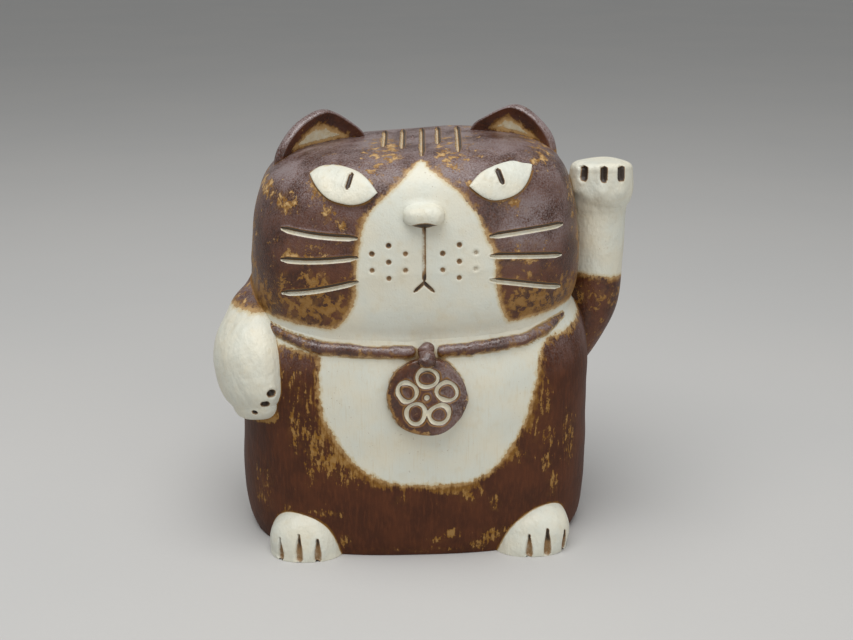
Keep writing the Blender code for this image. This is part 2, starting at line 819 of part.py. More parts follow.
def petal_ring(mesh, heart, right, up, inwards):
    """A ring-shaped cutter, six-sided in section."""
    turns, sides = 14, 6
    rings = []
    for step in range(turns):
        turn = 2 * math.pi * step / turns
        outwards = right * math.cos(turn) + up * math.sin(turn)
        ring = []
        for side in range(sides):
            lean = 2 * math.pi * side / sides
            offset = outwards * math.cos(lean) + inwards * math.sin(lean)
            ring.append(heart + outwards * PETAL_DIAMETER / 2 + offset * PETAL_LINE / 2)
        rings.append(ring)
    rings.append(rings[0])
    skin(mesh, rings, closed_ends=False)
    bmesh.ops.remove_doubles(mesh, verts=mesh.verts, dist=0.001 * MM)


def toe_lines(name, places, direction, length):
    """Three pressed lines between toes, each along a direction."""
    mesh = bmesh.new()
    for place in places:
        along = Vector(direction).normalized() * length / 2
        stroke(mesh, [place - along, place - along * 0.4, place + along * 0.4, place + along], TOE_LINE_WIDTH)
    return tool(name, mesh)


def foot(name, side, shape, material, body_seat):
    """A domed pad at the foot of the body, leaning outwards, with three pressed toe lines."""
    splay, toe_shift = shape
    level = 0.12 * FOOT_HEIGHT
    form = Form(FOOT_WIDTH, FOOT_LENGTH, level, FOOT_HEIGHT - level, 0.5 * FOOT_HEIGHT, 2.3, 2.1, 4.0)
    spread = BODY_WIDTH / 2 - FOOT_FROM_SIDE
    set_back = BODY_DEPTH / 2 - FOOT_FROM_FRONT
    mesh = rounded_box(form, 7)
    for vertex in mesh.verts:
        vertex.co.x += side * (spread + splay * vertex.co.z)
        vertex.co.y -= set_back
    made = keep(name, stand_flat(mesh), material)
    places = []
    for index in (-1, 0, 1):
        x = index * FOOT_TOE_PITCH + side * toe_shift
        height = TOE_LINE_LENGTH / 2 + TOE_LINE_FOOT
        face = form.front(x, height, TOE_LINE_WIDTH / 2 - TOE_LINE_DEPTH)
        places.append(face + Vector((side * (spread + splay * height), -set_back, 0)))
    toes = toe_lines(name + "_toes", places, (0, 0.28, 1), TOE_LINE_LENGTH)
    return cut(made, body_seat, toes)


def raised_arm_stations():
    """From the shoulder, out to the elbow and straight up beside the head to the paw."""
    side = BODY_WIDTH / 2 + ARM_OUT
    forearm, deep = FOREARM_WIDTH / 2, FOREARM_DEPTH / 2
    paw, paw_deep = PAW_WIDTH / 2, PAW_DEPTH / 2
    paw_out = side + paw * 0.055
    rise = ELBOW_HEIGHT - ARM_ROOT_HEIGHT
    bend = ARM_ROOT_HEIGHT + rise * 0.45
    tall = PAW_TOP - WRIST_HEIGHT
    flat_top = PAW_TOP - paw * PAW_BLUNTNESS * 0.96
    return [
        Station(Vector((side - forearm * 0.85, 0, ARM_ROOT_HEIGHT)), forearm * 0.75, deep * 0.8),
        Station(Vector((side - forearm * 0.4, 0, bend)), forearm * 0.88, deep * 0.95),
        Station(Vector((side - forearm * 0.06, 0, ELBOW_HEIGHT)), forearm, deep),
        Station(Vector((side, 0, (ELBOW_HEIGHT + WRIST_HEIGHT) / 2)), forearm, deep),
        Station(Vector((side, 0, WRIST_HEIGHT)), forearm, deep * 0.97),
        Station(Vector((side, -PAW_CURL * 0.4, WRIST_HEIGHT + tall * 0.29)), paw * 0.94, deep * 1.02),
        Station(Vector((paw_out, -PAW_CURL, WRIST_HEIGHT + tall * 0.52)), paw, paw_deep * 0.98),
        Station(Vector((paw_out, -PAW_CURL - paw_deep * 0.08, flat_top)), paw * 0.97, paw_deep * 0.88),
    ]


def raised_arm(material, *seats):
    """The beckoning arm, with three pressed lines on the front of its paw."""
    made = keep("raised_arm", roll(bmesh.new(), raised_arm_stations(), blunt=PAW_BLUNTNESS), material)
    paw = raised_arm_stations()[-1]
    places = []
    for index in (-1, 0, 1):
        x = index * PAW_TOE_PITCH + PAW_TOE_SHIFT
        face = paw.deep * math.sqrt(1 - (x / paw.wide) ** 2)
        sunk = TOE_LINE_WIDTH / 2 - TOE_LINE_DEPTH
        places.append(paw.middle + Vector((x, -face - sunk, 0)))
    return cut(made, toe_lines("raised_arm_toes", places, (0, 0.12, 1), PAW_TOE_LENGTH), *seats)


def lowered_arm_stations():
    """From beside the jowl, over the shoulder and down the front corner of the body."""
    stations = []
    for share, turn, out, size in DROP_PATH:
        turn = math.radians(turn)
        reach = BODY.reach(turn) + out
        height = DROP_TIP + (DROP_TOP - DROP_TIP) * share
        middle = Vector((reach * math.cos(turn), reach * math.sin(turn), height))
        stations.append(Station(middle, DROP_WIDTH / 2 * size, DROP_DEPTH / 2 * size))
    return stations


def lowered_arm_mesh(grow=0.0):
    """The drop's mesh, its wide way along the corner of the body."""
    return roll(bmesh.new(), lowered_arm_stations(), across=DROP_ACROSS, blunt=0.7, grow=grow)


def lowered_arm_spot(height, lean):
    """A point of the drop's front at a height, its lean from the front edge round to the outside."""
    stations = lowered_arm_stations()
    index = next(index for index, station in enumerate(stations) if station.middle.z < height) - 1
    above, below = stations[index], stations[index + 1]
    share = (above.middle.z - height) / (above.middle.z - below.middle.z)
    middle = above.middle.lerp(below.middle, share)
    wide = above.wide + (below.wide - above.wide) * share
    deep = above.deep + (below.deep - above.deep) * share
    forwards = -Vector(DROP_ACROSS).normalized()
    outwards = forwards.cross(Vector((0, 0, 1)))
    return middle + forwards * wide * math.cos(lean) + outwards * deep * math.sin(lean)


def lowered_arm(material, *seats):
    """The resting arm, with three pressed holes between the toes of its paw."""
    made = keep("lowered_arm", lowered_arm_mesh(), material)
    holes = bmesh.new()
    for height, lean in DROP_HOLES:
        dot(holes, lowered_arm_spot(height, math.radians(lean)), DROP_HOLE_DIAMETER / 2)
    return cut(made, tool("lowered_arm_holes", holes), *seats)


def tail(material, body_seat):
    """A short roll that curls up the back from the base."""
    stations = []
    count = 5
    for index in range(count):
        share = index / (count - 1)
        turn = math.radians(102 - 34 * share)
        height = TAIL_ROOT_HEIGHT + (TAIL_TIP_HEIGHT - TAIL_ROOT_HEIGHT) * share**2
        half = TAIL_THICKNESS / 2 * (1 - 0.25 * share)
        stations.append(Station(BODY.spot(turn, height, half * 0.25), half, half))
    made = keep("tail", roll(bmesh.new(), stations, across=(0, 1, 0), sides=14, steps=3), material)
    return cut(made, body_seat)


def main():
    for old in list(bpy.data.objects):
        bpy.data.objects.remove(old)

    brown = slip("iron_brown_slip", (0.105, 0.042, 0.026), 0.55)
    cream = slip("cream_glaze", (0.66, 0.63, 0.53), 0.5)
    rim = slip("ear_slip", (0.10, 0.055, 0.04), 0.6)
    clay = slip("bare_stoneware", (0.28, 0.17, 0.10), 0.85)

    body_seat = tool("body_seat", rounded_box(BODY.grown(SEAM), FORM_CUTS))
    head_seat = tool("head_seat", head_mesh(HEAD.grown(SEAM)))
    raised_seat = tool("raised_arm_seat", roll(bmesh.new(), raised_arm_stations(), grow=SEAM))
    lowered_seat = tool("lowered_arm_seat", lowered_arm_mesh(SEAM))
    medallion_seat = tool("medallion_seat", disc(SEAM))

    body_shell(brown, head_seat)
    base_slab(clay)
    head_shell(brown)
    nose(cream, head_seat)
    sides = (
        ("left", -1, LEFT_EAR, LEFT_EYE, LEFT_FOOT),
        ("right", 1, RIGHT_EAR, RIGHT_EYE, RIGHT_FOOT),
    )
    for name, side, ear_ends, eye_shape, foot_shape in sides:
        ear("ear_" + name, side, ear_ends, rim, head_seat)
        eye("eye_" + name, side, eye_shape, cream, head_seat)
        foot("foot_" + name, side, foot_shape, cream, body_seat)
    collar("collar_left", -1, brown, body_seat, head_seat, lowered_seat)
    collar("collar_right", 1, brown, body_seat, head_seat, raised_seat)
    bail(brown, body_seat, head_seat, medallion_seat)
    medallion(brown, body_seat)
    raised_arm(cream, body_seat, head_seat)
    lowered_arm(cream, body_seat, head_seat)
    tail(brown, body_seat)


if __name__ == "__main__":
    main()
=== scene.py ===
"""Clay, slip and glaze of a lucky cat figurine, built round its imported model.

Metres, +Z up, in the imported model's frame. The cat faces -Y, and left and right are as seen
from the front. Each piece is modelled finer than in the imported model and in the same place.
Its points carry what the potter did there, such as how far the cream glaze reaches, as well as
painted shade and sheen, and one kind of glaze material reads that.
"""

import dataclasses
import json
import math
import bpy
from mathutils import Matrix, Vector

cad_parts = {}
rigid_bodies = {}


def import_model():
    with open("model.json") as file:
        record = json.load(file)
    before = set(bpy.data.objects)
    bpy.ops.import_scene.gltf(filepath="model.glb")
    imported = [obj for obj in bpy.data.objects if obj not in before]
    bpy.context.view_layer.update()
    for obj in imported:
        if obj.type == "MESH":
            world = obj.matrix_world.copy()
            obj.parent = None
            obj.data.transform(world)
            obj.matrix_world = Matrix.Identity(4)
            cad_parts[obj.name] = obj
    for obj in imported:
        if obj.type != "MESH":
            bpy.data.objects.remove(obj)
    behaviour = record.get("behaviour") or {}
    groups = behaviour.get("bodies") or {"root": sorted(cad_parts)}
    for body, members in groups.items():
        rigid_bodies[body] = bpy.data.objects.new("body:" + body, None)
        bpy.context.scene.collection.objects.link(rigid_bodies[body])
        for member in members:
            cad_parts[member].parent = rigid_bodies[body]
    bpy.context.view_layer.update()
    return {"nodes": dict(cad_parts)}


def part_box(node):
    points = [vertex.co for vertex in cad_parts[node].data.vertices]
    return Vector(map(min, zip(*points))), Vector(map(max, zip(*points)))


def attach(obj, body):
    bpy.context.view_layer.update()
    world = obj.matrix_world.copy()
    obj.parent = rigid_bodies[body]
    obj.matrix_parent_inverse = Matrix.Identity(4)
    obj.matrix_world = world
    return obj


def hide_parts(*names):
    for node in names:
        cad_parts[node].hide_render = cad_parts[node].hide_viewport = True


bl_info = {
    "name": "Lucky Cat Stoneware",
    "version": (1, 0, 0),
    "blender": (4, 5, 0),
    "location": "3D View > Sidebar > Lucky Cat",
    "description": "Builds the clay, slip and glaze of a lucky cat figurine round its packed model",
    "category": "Add Mesh",
}

import bmesh
import bpy
import numpy as np
from bpy.props import FloatProperty, FloatVectorProperty, IntProperty, PointerProperty
from bpy.types import Operator, Panel, PropertyGroup
from mathutils import Vector
from mathutils.bvhtree import BVHTree

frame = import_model()

MM = 0.001
BODY_LOW, BODY_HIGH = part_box("body_shell")
HEAD_LOW, HEAD_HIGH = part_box("head_shell")
SIDES = (("left", -1), ("right", 1))

# The front as an angle in plan
FRONT = math.radians(-90)

# More than any distance or share that it is compared with
FAR = 50.0

# How often a place on a leaning or domed surface is worked out again until it settles
SETTLING = 8
CROWN_SETTLING = 12
WELD_SETTLING = 7
SEAM_HALVINGS = 30

# The cream blaze on the face, (x, z) in millimetres from its tip round by the left
BLAZE = (
    (1.2, 130.5), (-3.4, 127.2), (-7.6, 123.1), (-14.1, 117.6), (-17.3, 112.1), (-18.6, 105.0),
    (-19.6, 99.7), (-19.7, 94.6), (-20.5, 87.4), (-24.2, 80.8), (-28.0, 77.0), (-24.0, 68.0),
    (26.0, 68.0), (30.6, 76.8), (27.9, 80.6), (25.6, 86.3), (24.1, 95.1), (23.7, 102.4),
    (20.8, 108.8), (18.3, 115.1), (11.9, 122.7), (7.6, 125.7), (3.8, 128.4),
)

# The cream belly, (x, z) in millimetres from its left shoulder down
BELLY = (
    (-31.4, 84.0), (-31.8, 68.7), (-32.1, 58.8), (-31.0, 50.4), (-27.7, 43.1), (-22.6, 35.6),
    (-15.6, 29.8), (-8.5, 27.0), (1.6, 26.3), (15.0, 27.0), (23.3, 30.6), (29.2, 37.5),
    (34.4, 46.6), (37.2, 56.9), (38.9, 66.8), (39.0, 84.0),
)

# Worn places of the slip, (x, z, half width, half height, how worn) in millimetres from the front
HEAD_WEAR = (
    (-41.6, 117.0, 2.6, 2.4, 1.0), (-47.5, 119.8, 2.4, 2.0, 0.9), (-32.0, 121.4, 2.6, 1.8, 0.9),
    (-28.0, 115.2, 1.8, 1.8, 0.9), (-24.0, 113.0, 1.8, 1.6, 0.7), (-25.5, 124.6, 1.6, 1.2, 0.34),
    (-13.3, 128.2, 3.4, 4.0, 0.54), (-9.0, 131.4, 3.2, 1.6, 0.68), (-15.7, 130.8, 2.0, 1.5, 0.41),
    (10.4, 131.4, 3.0, 1.4, 0.61), (13.4, 129.4, 2.4, 2.4, 0.61), (17.6, 131.9, 3.6, 1.6, 0.41),
    (8.0, 128.6, 2.2, 2.0, 0.61), (14.5, 124.5, 2.0, 1.8, 0.34), (40.0, 130.0, 4.0, 2.0, 0.61),
    (29.4, 118.4, 2.4, 2.0, 0.9), (25.3, 120.4, 1.8, 1.6, 0.7), (33.0, 116.0, 1.4, 1.2, 0.6),
    (-33.6, 104.6, 7.0, 1.6, 0.45), (-36.6, 101.2, 4.6, 1.4, 0.9), (-24.6, 106.0, 3.0, 1.4, 0.5),
    (35.8, 104.6, 5.0, 1.4, 0.5), (33.6, 100.4, 4.4, 1.4, 0.8), (30.0, 105.6, 2.4, 1.2, 0.5),
    (-31.6, 95.2, 3.4, 2.2, 0.8), (-43.4, 95.0, 2.0, 2.0, 0.5), (-24.4, 94.6, 2.4, 1.8, 0.4),
    (33.8, 94.6, 4.0, 1.8, 0.6), (40.6, 96.4, 2.4, 1.8, 0.5), (-34.0, 86.2, 9.5, 4.6, 0.85),
    (-25.6, 84.0, 4.0, 4.4, 0.7), (36.0, 85.0, 9.0, 4.4, 0.85), (44.6, 84.6, 3.6, 5.0, 0.9),
    (-57.0, 100.0, 3.6, 15.0, 1.0), (-53.5, 121.0, 2.6, 6.0, 0.9), (-50.8, 85.0, 4.4, 6.0, 0.9),
    (57.0, 101.0, 3.6, 15.0, 1.05), (54.0, 120.0, 2.6, 6.0, 0.95), (51.6, 84.0, 4.4, 6.0, 0.9),
)
BODY_WEAR = (
    (-41.0, 63.0, 4.0, 3.0, 0.7), (-40.0, 57.0, 2.4, 5.0, 0.85), (-46.6, 49.0, 1.4, 3.0, 0.7),
    (-39.6, 45.0, 2.4, 6.0, 0.9), (-36.0, 52.0, 1.0, 6.0, 0.8), (-33.6, 39.0, 3.0, 6.0, 1.05),
    (-28.0, 34.6, 4.0, 4.0, 1.1), (-21.0, 29.6, 3.8, 2.6, 1.0), (-15.0, 26.6, 2.6, 1.6, 0.8),
    (-52.0, 20.0, 2.6, 6.0, 0.85), (-35.4, 30.0, 1.4, 3.0, 0.8), (6.0, 6.0, 2.0, 1.0, 1.0),
    (20.1, 3.4, 3.0, 1.4, 1.2), (10.5, 8.0, 1.8, 1.6, 1.4), (24.0, 6.4, 2.8, 2.0, 1.3),
    (15.8, 21.6, 2.2, 1.6, 1.2), (24.8, 18.9, 1.2, 2.2, 1.3), (14.0, 24.0, 6.0, 1.6, 1.0),
    (-24.8, 6.0, 1.4, 2.0, 1.1), (28.5, 8.2, 2.0, 1.4, 1.1), (-30.0, 15.6, 4.0, 0.9, 1.2),
    (42.2, 39.0, 1.8, 4.0, 0.9), (42.4, 30.0, 1.4, 3.0, 0.9), (50.6, 40.0, 1.8, 5.0, 0.95),
    (51.2, 32.0, 1.6, 4.4, 0.85), (40.8, 52.0, 2.2, 7.0, 0.75), (38.0, 44.0, 2.0, 4.4, 0.8),
    (32.0, 34.6, 2.8, 2.6, 0.75), (45.0, 22.0, 1.4, 3.4, 1.05), (-43.6, 12.0, 1.2, 4.0, 1.0),
    (0.0, 2.0, 12.0, 1.0, 0.8), (-6.0, 21.0, 2.4, 1.2, 0.7),
)


def length(title, about, size):
    """A size in millimetres as a property, which Blender keeps in metres."""
    return FloatProperty(name=title, description=about, default=size * MM, precision=5, unit="LENGTH")


def angle(title, about, degrees):
    """An angle in degrees as a property, which Blender keeps in radians."""
    return FloatProperty(name=title, description=about, default=math.radians(degrees), unit="ROTATION")


def share(title, about, value):
    """A plain number as a property."""
    return FloatProperty(name=title, description=about, default=value, precision=4)


def count(title, about, value):
    """A whole number as a property."""
    return IntProperty(name=title, description=about, default=value, min=3)


def colour(title, about, value):
    """A linear colour as a property."""
    return FloatVectorProperty(
        name=title, description=about, default=(*value, 1.0), size=4, min=0.0, max=1.0, subtype="COLOR"
    )


class CatBody(PropertyGroup):
    """The body, a rounded box that stands on its base."""

    level: length("Widest level", "Height of the body's widest level", 34)
    rise: length("Rise", "From the widest level to the top", 46)
    drop: length("Drop", "From the widest level to the form's lowest point, below the base", 46)
    shoulder: length("Shoulder rise", "How much higher the shoulders are than the middle", 7)
    wall: length("Wall", "Thickness of the clay wall", 5.5)
    plan: share("Plan", "Power of the outline seen from above", 2.8)
    profile: share("Profile", "Power of the outline seen from the side", 5.0)
    base: length("Base recess", "Depth of the recess that holds the base slab", 6.5)
    quads: count("Divisions", "Faces along each side of the block it is made from", 84)


class CatHead(PropertyGroup):
    """The head, a wider-than-tall rounded box sunk into the top of the body."""

    level: length("Widest level", "Height of the head's widest level", 97)
    rise: length("Rise", "From the widest level to the crown", 35.4)
    drop: length("Drop", "From the widest level to the chin inside the body", 38)
    plan: share("Plan", "Power of the outline seen from above", 2.9)
    crown: share("Crown", "Power of the outline above the widest level", 5.0)
    jowl: share("Jowl", "Power of the outline below the widest level", 2.8)
    taper: share("Taper", "How much narrower the crown is", 0.08)
    lean: share("Lean", "How much the head rises to its right, as a slope", 0.05)
    middle: length("Face middle", "How far the face's middle is to the right", 1.5)
    seam: length("Seam fillet", "Reach of the hollow between the head and the body", 3.6)
    quads: count("Divisions", "Faces along each side of the block it is made from", 84)


class CatLines(PropertyGroup):
    """Lines and dots pressed into the clay with a stick."""

    width: length("Line width", "Width of a whisker, a stripe and the mouth", 1.7)
    depth: length("Line depth", "Depth of a pressed line", 0.9)
    dot: length("Dot", "Diameter of a whisker dot", 2.05)
    whisker_inner: length("Whisker start", "From the face's middle to a whisker's inner end", 21.0)
    whisker_outer: length("Whisker end", "From the face's middle to a whisker's outer end", 44.4)
    dot_spread: length("Dots out", "From the face's middle to the middle of the dots", 11)
    dot_rise: length("Dots up", "From the widest level to the middle of the dots", 3.9)
    dot_across: length("Dot step across", "Step between dots, sideways", 5.2)
    dot_up: length("Dot step up", "Half the step between dots, upwards", 2.6)
    stripe_pitch: length("Stripe pitch", "Between two forehead stripes", 5.9)
    stripe_back: length("Stripe back", "How far behind the crown's middle a stripe starts", 20)
    mouth_top: length("Mouth top", "From the widest level up to the mouth line's top", 15.5)
    mouth_length: length("Mouth line", "Length of the line below the nose", 18.3)
    mouth_spread: length("Mouth spread", "How far the two short lines reach sideways", 3.1)
    mouth_fall: length("Mouth fall", "How far the two short lines reach down", 3.0)
    toe_width: length("Toe line width", "Width of a line between toes", 2.5)
    toe_depth: length("Toe line depth", "Depth of a line between toes", 1.35)


class CatFace(PropertyGroup):
    """Eyes, nose and ears pressed onto the head."""

    eye_spread: length("Eye out", "From the face's middle to an eye's middle", 24.6)
    eye_length: length("Eye length", "From corner to corner", 21.4)
    eye_corner: share("Eye corner", "Power of the almond's outline, larger for blunter corners", 2.5)
    eye_thickness: length("Eye thickness", "How proud the eye stands", 1.6)
    eye_root: length("Eye root", "How deep the eye is sunk", 2.5)
    pupil_length: length("Pupil length", "Length of the pressed slit", 4.2)
    pupil_width: length("Pupil width", "Width of the pressed slit", 2.0)
    pupil_lean: angle("Pupil lean", "How much the slit's top leans inwards", 21)
    nose_rise: length("Nose up", "From the head's widest level to the nose", 18)
    nose_width: length("Nose width", "Width of the nose", 12.8)
    nose_upper: length("Nose above", "Height of the nose above its widest part", 3.7)
    nose_lower: length("Nose below", "Height of the nose below its widest part", 2.8)
    nose_thickness: length("Nose thickness", "How proud the nose stands", 4.8)
    ear_spread: length("Ear out", "From the face's middle to an ear's middle", 30.5)
    ear_turn: angle("Ear turn", "How much an ear's outer end is turned to the front", 33)
    ear_root: length("Ear root", "How deep an ear is sunk", 9)
    ear_thickness: length("Ear thickness", "Thickness of an ear", 7.5)
    ear_rim: length("Ear rim", "Width of an ear's rim", 2.5)
    ear_back: length("Ear set back", "How far an ear is behind the crown's middle", 4)


class CatCollar(PropertyGroup):
    """Collar rolls, bail and medallion."""

    thickness: length("Roll", "Thickness of a collar roll", 3.9)
    below: length("Below the seam", "From the seam of the head down to the roll's middle", 3.1)
    proud: length("Proud", "How far the roll's middle is out of the body", 0.5)
    middle: length("Middle", "How far the bail is to the right", 2.2)
    gap: length("Gap", "From the bail's middle to a roll's end", 4.6)
    turn: angle("Turn", "How far round the body a roll reaches", 62)
    bail_width: length("Bail width", "Width of the bean that holds the medallion", 6.2)
    bail_length: length("Bail length", "Length of the bean", 9.2)
    bail_thickness: length("Bail thickness", "Thickness of the bean", 4.6)
    disc: length("Medallion", "Diameter of the medallion", 25.4)
    disc_thickness: length("Medallion thickness", "How proud the medallion stands", 3.2)
    disc_bevel: length("Medallion edge", "Width of its rounded edge", 0.8)
    disc_drop: length("Medallion drop", "From the roll's middle to the medallion's middle", 13.8)
    petals: count("Petals", "Number of petals in the pressed blossom", 5)
    petal: length("Petal", "Diameter of a petal's ring", 6.2)
    orbit: length("Petal orbit", "From the blossom's middle to a petal's middle", 6.5)
    line: length("Blossom line", "Width of the blossom's lines", 1.5)


class CatLimbs(PropertyGroup):
    """Feet, arms and tail."""

    foot_side: length("Foot from side", "From the body's side in to a foot's middle", 22.7)
    foot_front: length("Foot from front", "From the body's front in to a foot's middle", 9)
    foot_width: length("Foot width", "Width of a foot", 25)
    foot_height: length("Foot height", "Height of a foot", 15.4)
    foot_length: length("Foot length", "Depth of a foot, front to back", 21)
    foot_pitch: length("Foot toes", "Between two toe lines of a foot", 6.2)
    foot_line: length("Foot line", "Length of a foot's toe line", 8.4)
    arm_root: length("Arm root", "Height of the raised arm's root", 58)
    elbow: length("Elbow", "Height of the raised arm's elbow", 78)
    wrist: length("Wrist", "Height of the raised arm's wrist", 106)
    paw_top: length("Paw top", "Height of the raised paw's top", 124.8)
    forearm_width: length("Forearm width", "Width of the raised forearm", 18.8)
    forearm_depth: length("Forearm depth", "Depth of the raised forearm", 19)
    paw_width: length("Paw width", "Width of the raised paw", 21.8)
    paw_depth: length("Paw depth", "Depth of the raised paw", 22.6)
    paw_curl: length("Paw curl", "How far the raised paw leans to the front", 1.6)
    paw_blunt: share("Paw bluntness", "How round the raised paw's top is", 0.3)
    arm_out: length("Arm out", "How far the raised arm is out of the body's side", 3.1)
    paw_pitch: length("Paw toes", "Between two toe lines of the raised paw", 6.15)
    paw_shift: length("Paw toe shift", "How far its toe lines are to the right", -1.4)
    paw_line: length("Paw line", "Length of its toe lines", 7.2)
    sock: length("Sock", "Height at which the raised arm's cream starts", 86)
    drop_top: length("Drop top", "Height of the lowered arm's top", 90)
    drop_tip: length("Drop tip", "Height of the lowered arm's tip", 45)
    drop_width: length("Drop width", "Width of the lowered arm", 31)
    drop_depth: length("Drop depth", "Thickness of the lowered arm", 21.4)
    drop_hole: length("Toe hole", "Diameter of a hole in the lowered paw", 3.5)
    drop_sleeve: length("Sleeve", "Height at which the lowered arm's brown starts", 80.3)
    tail_thickness: length("Tail", "Thickness of the tail", 11)
    tail_root: length("Tail root", "Height of the tail's root", 9)
    tail_tip: length("Tail tip", "Height of the tail's tip", 27)


class CatGlaze(PropertyGroup):
    """Colours of the fired surfaces."""

    slip_dark: colour("Dark slip", "Iron slip where it is thick", (0.044, 0.0140, 0.0065))
    slip_red: colour("Red slip", "Iron slip where it is thin", (0.120, 0.036, 0.0125))
    # Its colour is also the painted sheen on what faces up
    slip_bloom: colour("Bloom", "Grey purple film on slip that faces up", (0.224, 0.174, 0.170))
    ochre_dark: colour("Dark ochre", "Iron that has run into the glaze", (0.230, 0.104, 0.014))
    ochre_pale: colour("Pale ochre", "Glaze that shows through worn slip", (0.540, 0.345, 0.145))
    cream_cool: colour("Cool cream", "Glaze where it is thick", (0.655, 0.660, 0.575))
    cream_warm: colour("Warm cream", "Glaze where it is thin", (0.690, 0.655, 0.530))
    straw: colour("Straw", "Glaze beside the slip", (0.560, 0.440, 0.235))
    # Its colour is also the painted shade in pressed marks, along lines and below the eyes and nose
    iron: colour("Iron", "Iron in the pressed marks", (0.026, 0.019, 0.017))
    clay: colour("Bare clay", "Unglazed base", (0.280, 0.170, 0.100))


class CatStage(PropertyGroup):
    """Floor, lamps and camera."""

    distance: length("Camera back", "How far the camera is in front of the body's middle", 433)
    height: length("Camera height", "Height of the camera", 205.1)
    sideways: length("Camera sideways", "How far the camera is to the right", -18.2)
    pitch: angle("Camera pitch", "How far the camera looks down", 17.5)
    turn: angle("Camera turn", "How far the camera looks to the left", -3)
    lens: share("Lens", "Focal length in millimetres on a 36 mm film", 54.86)
    world: share("Sky", "Strength of the even light from all sides", 0.36)
    key: share("Key lamp", "Power of the large lamp above, in watts", 6.6)
    fill: share("Front lamp", "Power of the lamp beside the camera, in watts", 1.5)
    floor: colour("Floor", "Colour of the floor", (0.53, 0.525, 0.51))


@dataclasses.dataclass
class Form:
    """A rounded box: one superellipse in plan, others above and below its widest level.

    plan, above and below are the powers of these curves. taper is how much narrower the top is,
    saddle how much higher its two sides are than its middle, and lean how steeply it rises to +X.
    """

    half_width: float
    half_depth: float
    level: float
    rise: float
    drop: float
    plan: float
    above: float
    below: float
    taper: float = 0.0
    saddle: float = 0.0
    lean: float = 0.0

    def grown(self, by):
        """The same form with its surface moved out by a distance, or in by a negative one."""
        return dataclasses.replace(
            self, half_width=self.half_width + by, half_depth=self.half_depth + by,
            rise=self.rise + by, drop=self.drop + by,
        )

    def reach(self, turn):
        """Distance from the Z axis to the form's widest outline, at angles in plan."""
        across = np.abs(np.cos(turn) / self.half_width) ** self.plan
        along = np.abs(np.sin(turn) / self.half_depth) ** self.plan
        return (across + along) ** (-1 / self.plan)

    def top(self, turn):
        """How far the form rises above its widest level, at angles in plan."""
        return self.rise + self.saddle * np.cos(turn) ** 2

    def narrowing(self, turn, height):
        """How wide the form is at heights, as a share of its widest outline."""
        up = np.clip((height - self.level) / self.top(turn), 0, 1)
        down = np.clip((self.level - height) / self.drop, 0, 1)
        upper = (1 - up**self.above) ** (1 / self.above) * (1 - self.taper * up)
        return np.where(height > self.level, upper, (1 - down**self.below) ** (1 / self.below))

    def radius(self, turn, height):
        """Distance from the Z axis to the surface, at angles in plan and heights."""
        reach = self.reach(turn)
        found = reach
        for _ in range(SETTLING):
            found = reach * self.narrowing(turn, height - self.lean * found * np.cos(turn))
        return found

    def spot(self, turn, height, out=0.0):
        """Points of the surface at angles in plan and heights, moved out sideways."""
        radius = self.radius(turn, height) + out
        return np.stack([radius * np.cos(turn), radius * np.sin(turn), height + 0 * radius], -1)

    def front(self, x, height, out=0.0):
        """Points of the front surface at places of the front view, moved out to the front."""
        x, height = np.broadcast_arrays(np.asarray(x, float), np.asarray(height, float))
        y = np.full(x.shape, -self.half_depth)
        for _ in range(SETTLING):
            size = np.maximum(self.narrowing(np.arctan2(y, x), height - self.lean * x), 1e-4)
            across = np.clip(np.abs(x) / (self.half_width * size), 0, 1) ** self.plan
            y = -self.half_depth * size * (1 - across) ** (1 / self.plan)
        return np.stack([x, y - out, height], -1)

    def crown(self, x, y):
        """Points of the top surface over places in plan."""
        x, y = np.broadcast_arrays(np.asarray(x, float), np.asarray(y, float))
        turn = np.arctan2(y, x)
        flat = np.hypot(x, y) / self.reach(turn)
        up = np.ones(x.shape)
        for _ in range(CROWN_SETTLING):
            wide = np.clip(flat / (1 - self.taper * up), 0, 1)
            up = (1 - wide**self.above) ** (1 / self.above)
        return np.stack([x, y, self.level + up * self.top(turn) + self.lean * x], -1)

    def onto(self, corners):
        """Where points round a cube or ball of half size 1 go on the surface."""
        x, y, z = (corners * (self.half_width, self.half_depth, 1)).T
        turn = np.arctan2(y, x)
        flat = np.hypot(x, y) / self.reach(turn)
        power = np.where(z > 0, self.above, self.below)
        size = (flat**power + np.abs(z) ** power) ** (1 / power)
        part = z / size
        saddle = self.saddle * np.cos(turn) ** 2 * np.minimum(1, flat)
        tall = np.where(z > 0, self.rise + saddle, self.drop)
        inwards = (1 - self.taper * np.clip(part, 0, None)) / size
        return np.stack([x * inwards, y * inwards, self.level + part * tall + self.lean * x * inwards], -1)

    def excess(self, points):
        """0 on the surface, above 0 outside and below 0 inside."""
        x, y, z = points.T
        turn = np.arctan2(y, x)
        upright = z - self.lean * x - self.level
        part = upright / np.where(upright > 0, self.top(turn), self.drop)
        flat = np.hypot(x, y) / self.reach(turn) / (1 - self.taper * np.clip(part, 0, 1))
        power = np.where(upright > 0, self.above, self.below)
        return (flat**power + np.abs(part) ** power) ** (1 / power) - 1

    def clearance(self, points):
        """Distance out of the surface, or into it if negative, true close to it."""
        here = self.excess(points)
        step = 0.05 * MM
        slope = np.zeros_like(points)
        for axis in range(3):
            moved = points.copy()
            moved[:, axis] += step
            slope[:, axis] = (self.excess(moved) - here) / step
        return here / np.maximum(np.linalg.norm(slope, axis=1), 1e-6)


def body_form(scene):
    """The body's form."""
    sizes, half = scene.cat_body, (BODY_HIGH - BODY_LOW) / 2
    return Form(
        half.x, half.y, sizes.level, sizes.rise, sizes.drop, sizes.plan, sizes.profile, sizes.profile,
        saddle=sizes.shoulder,
    )


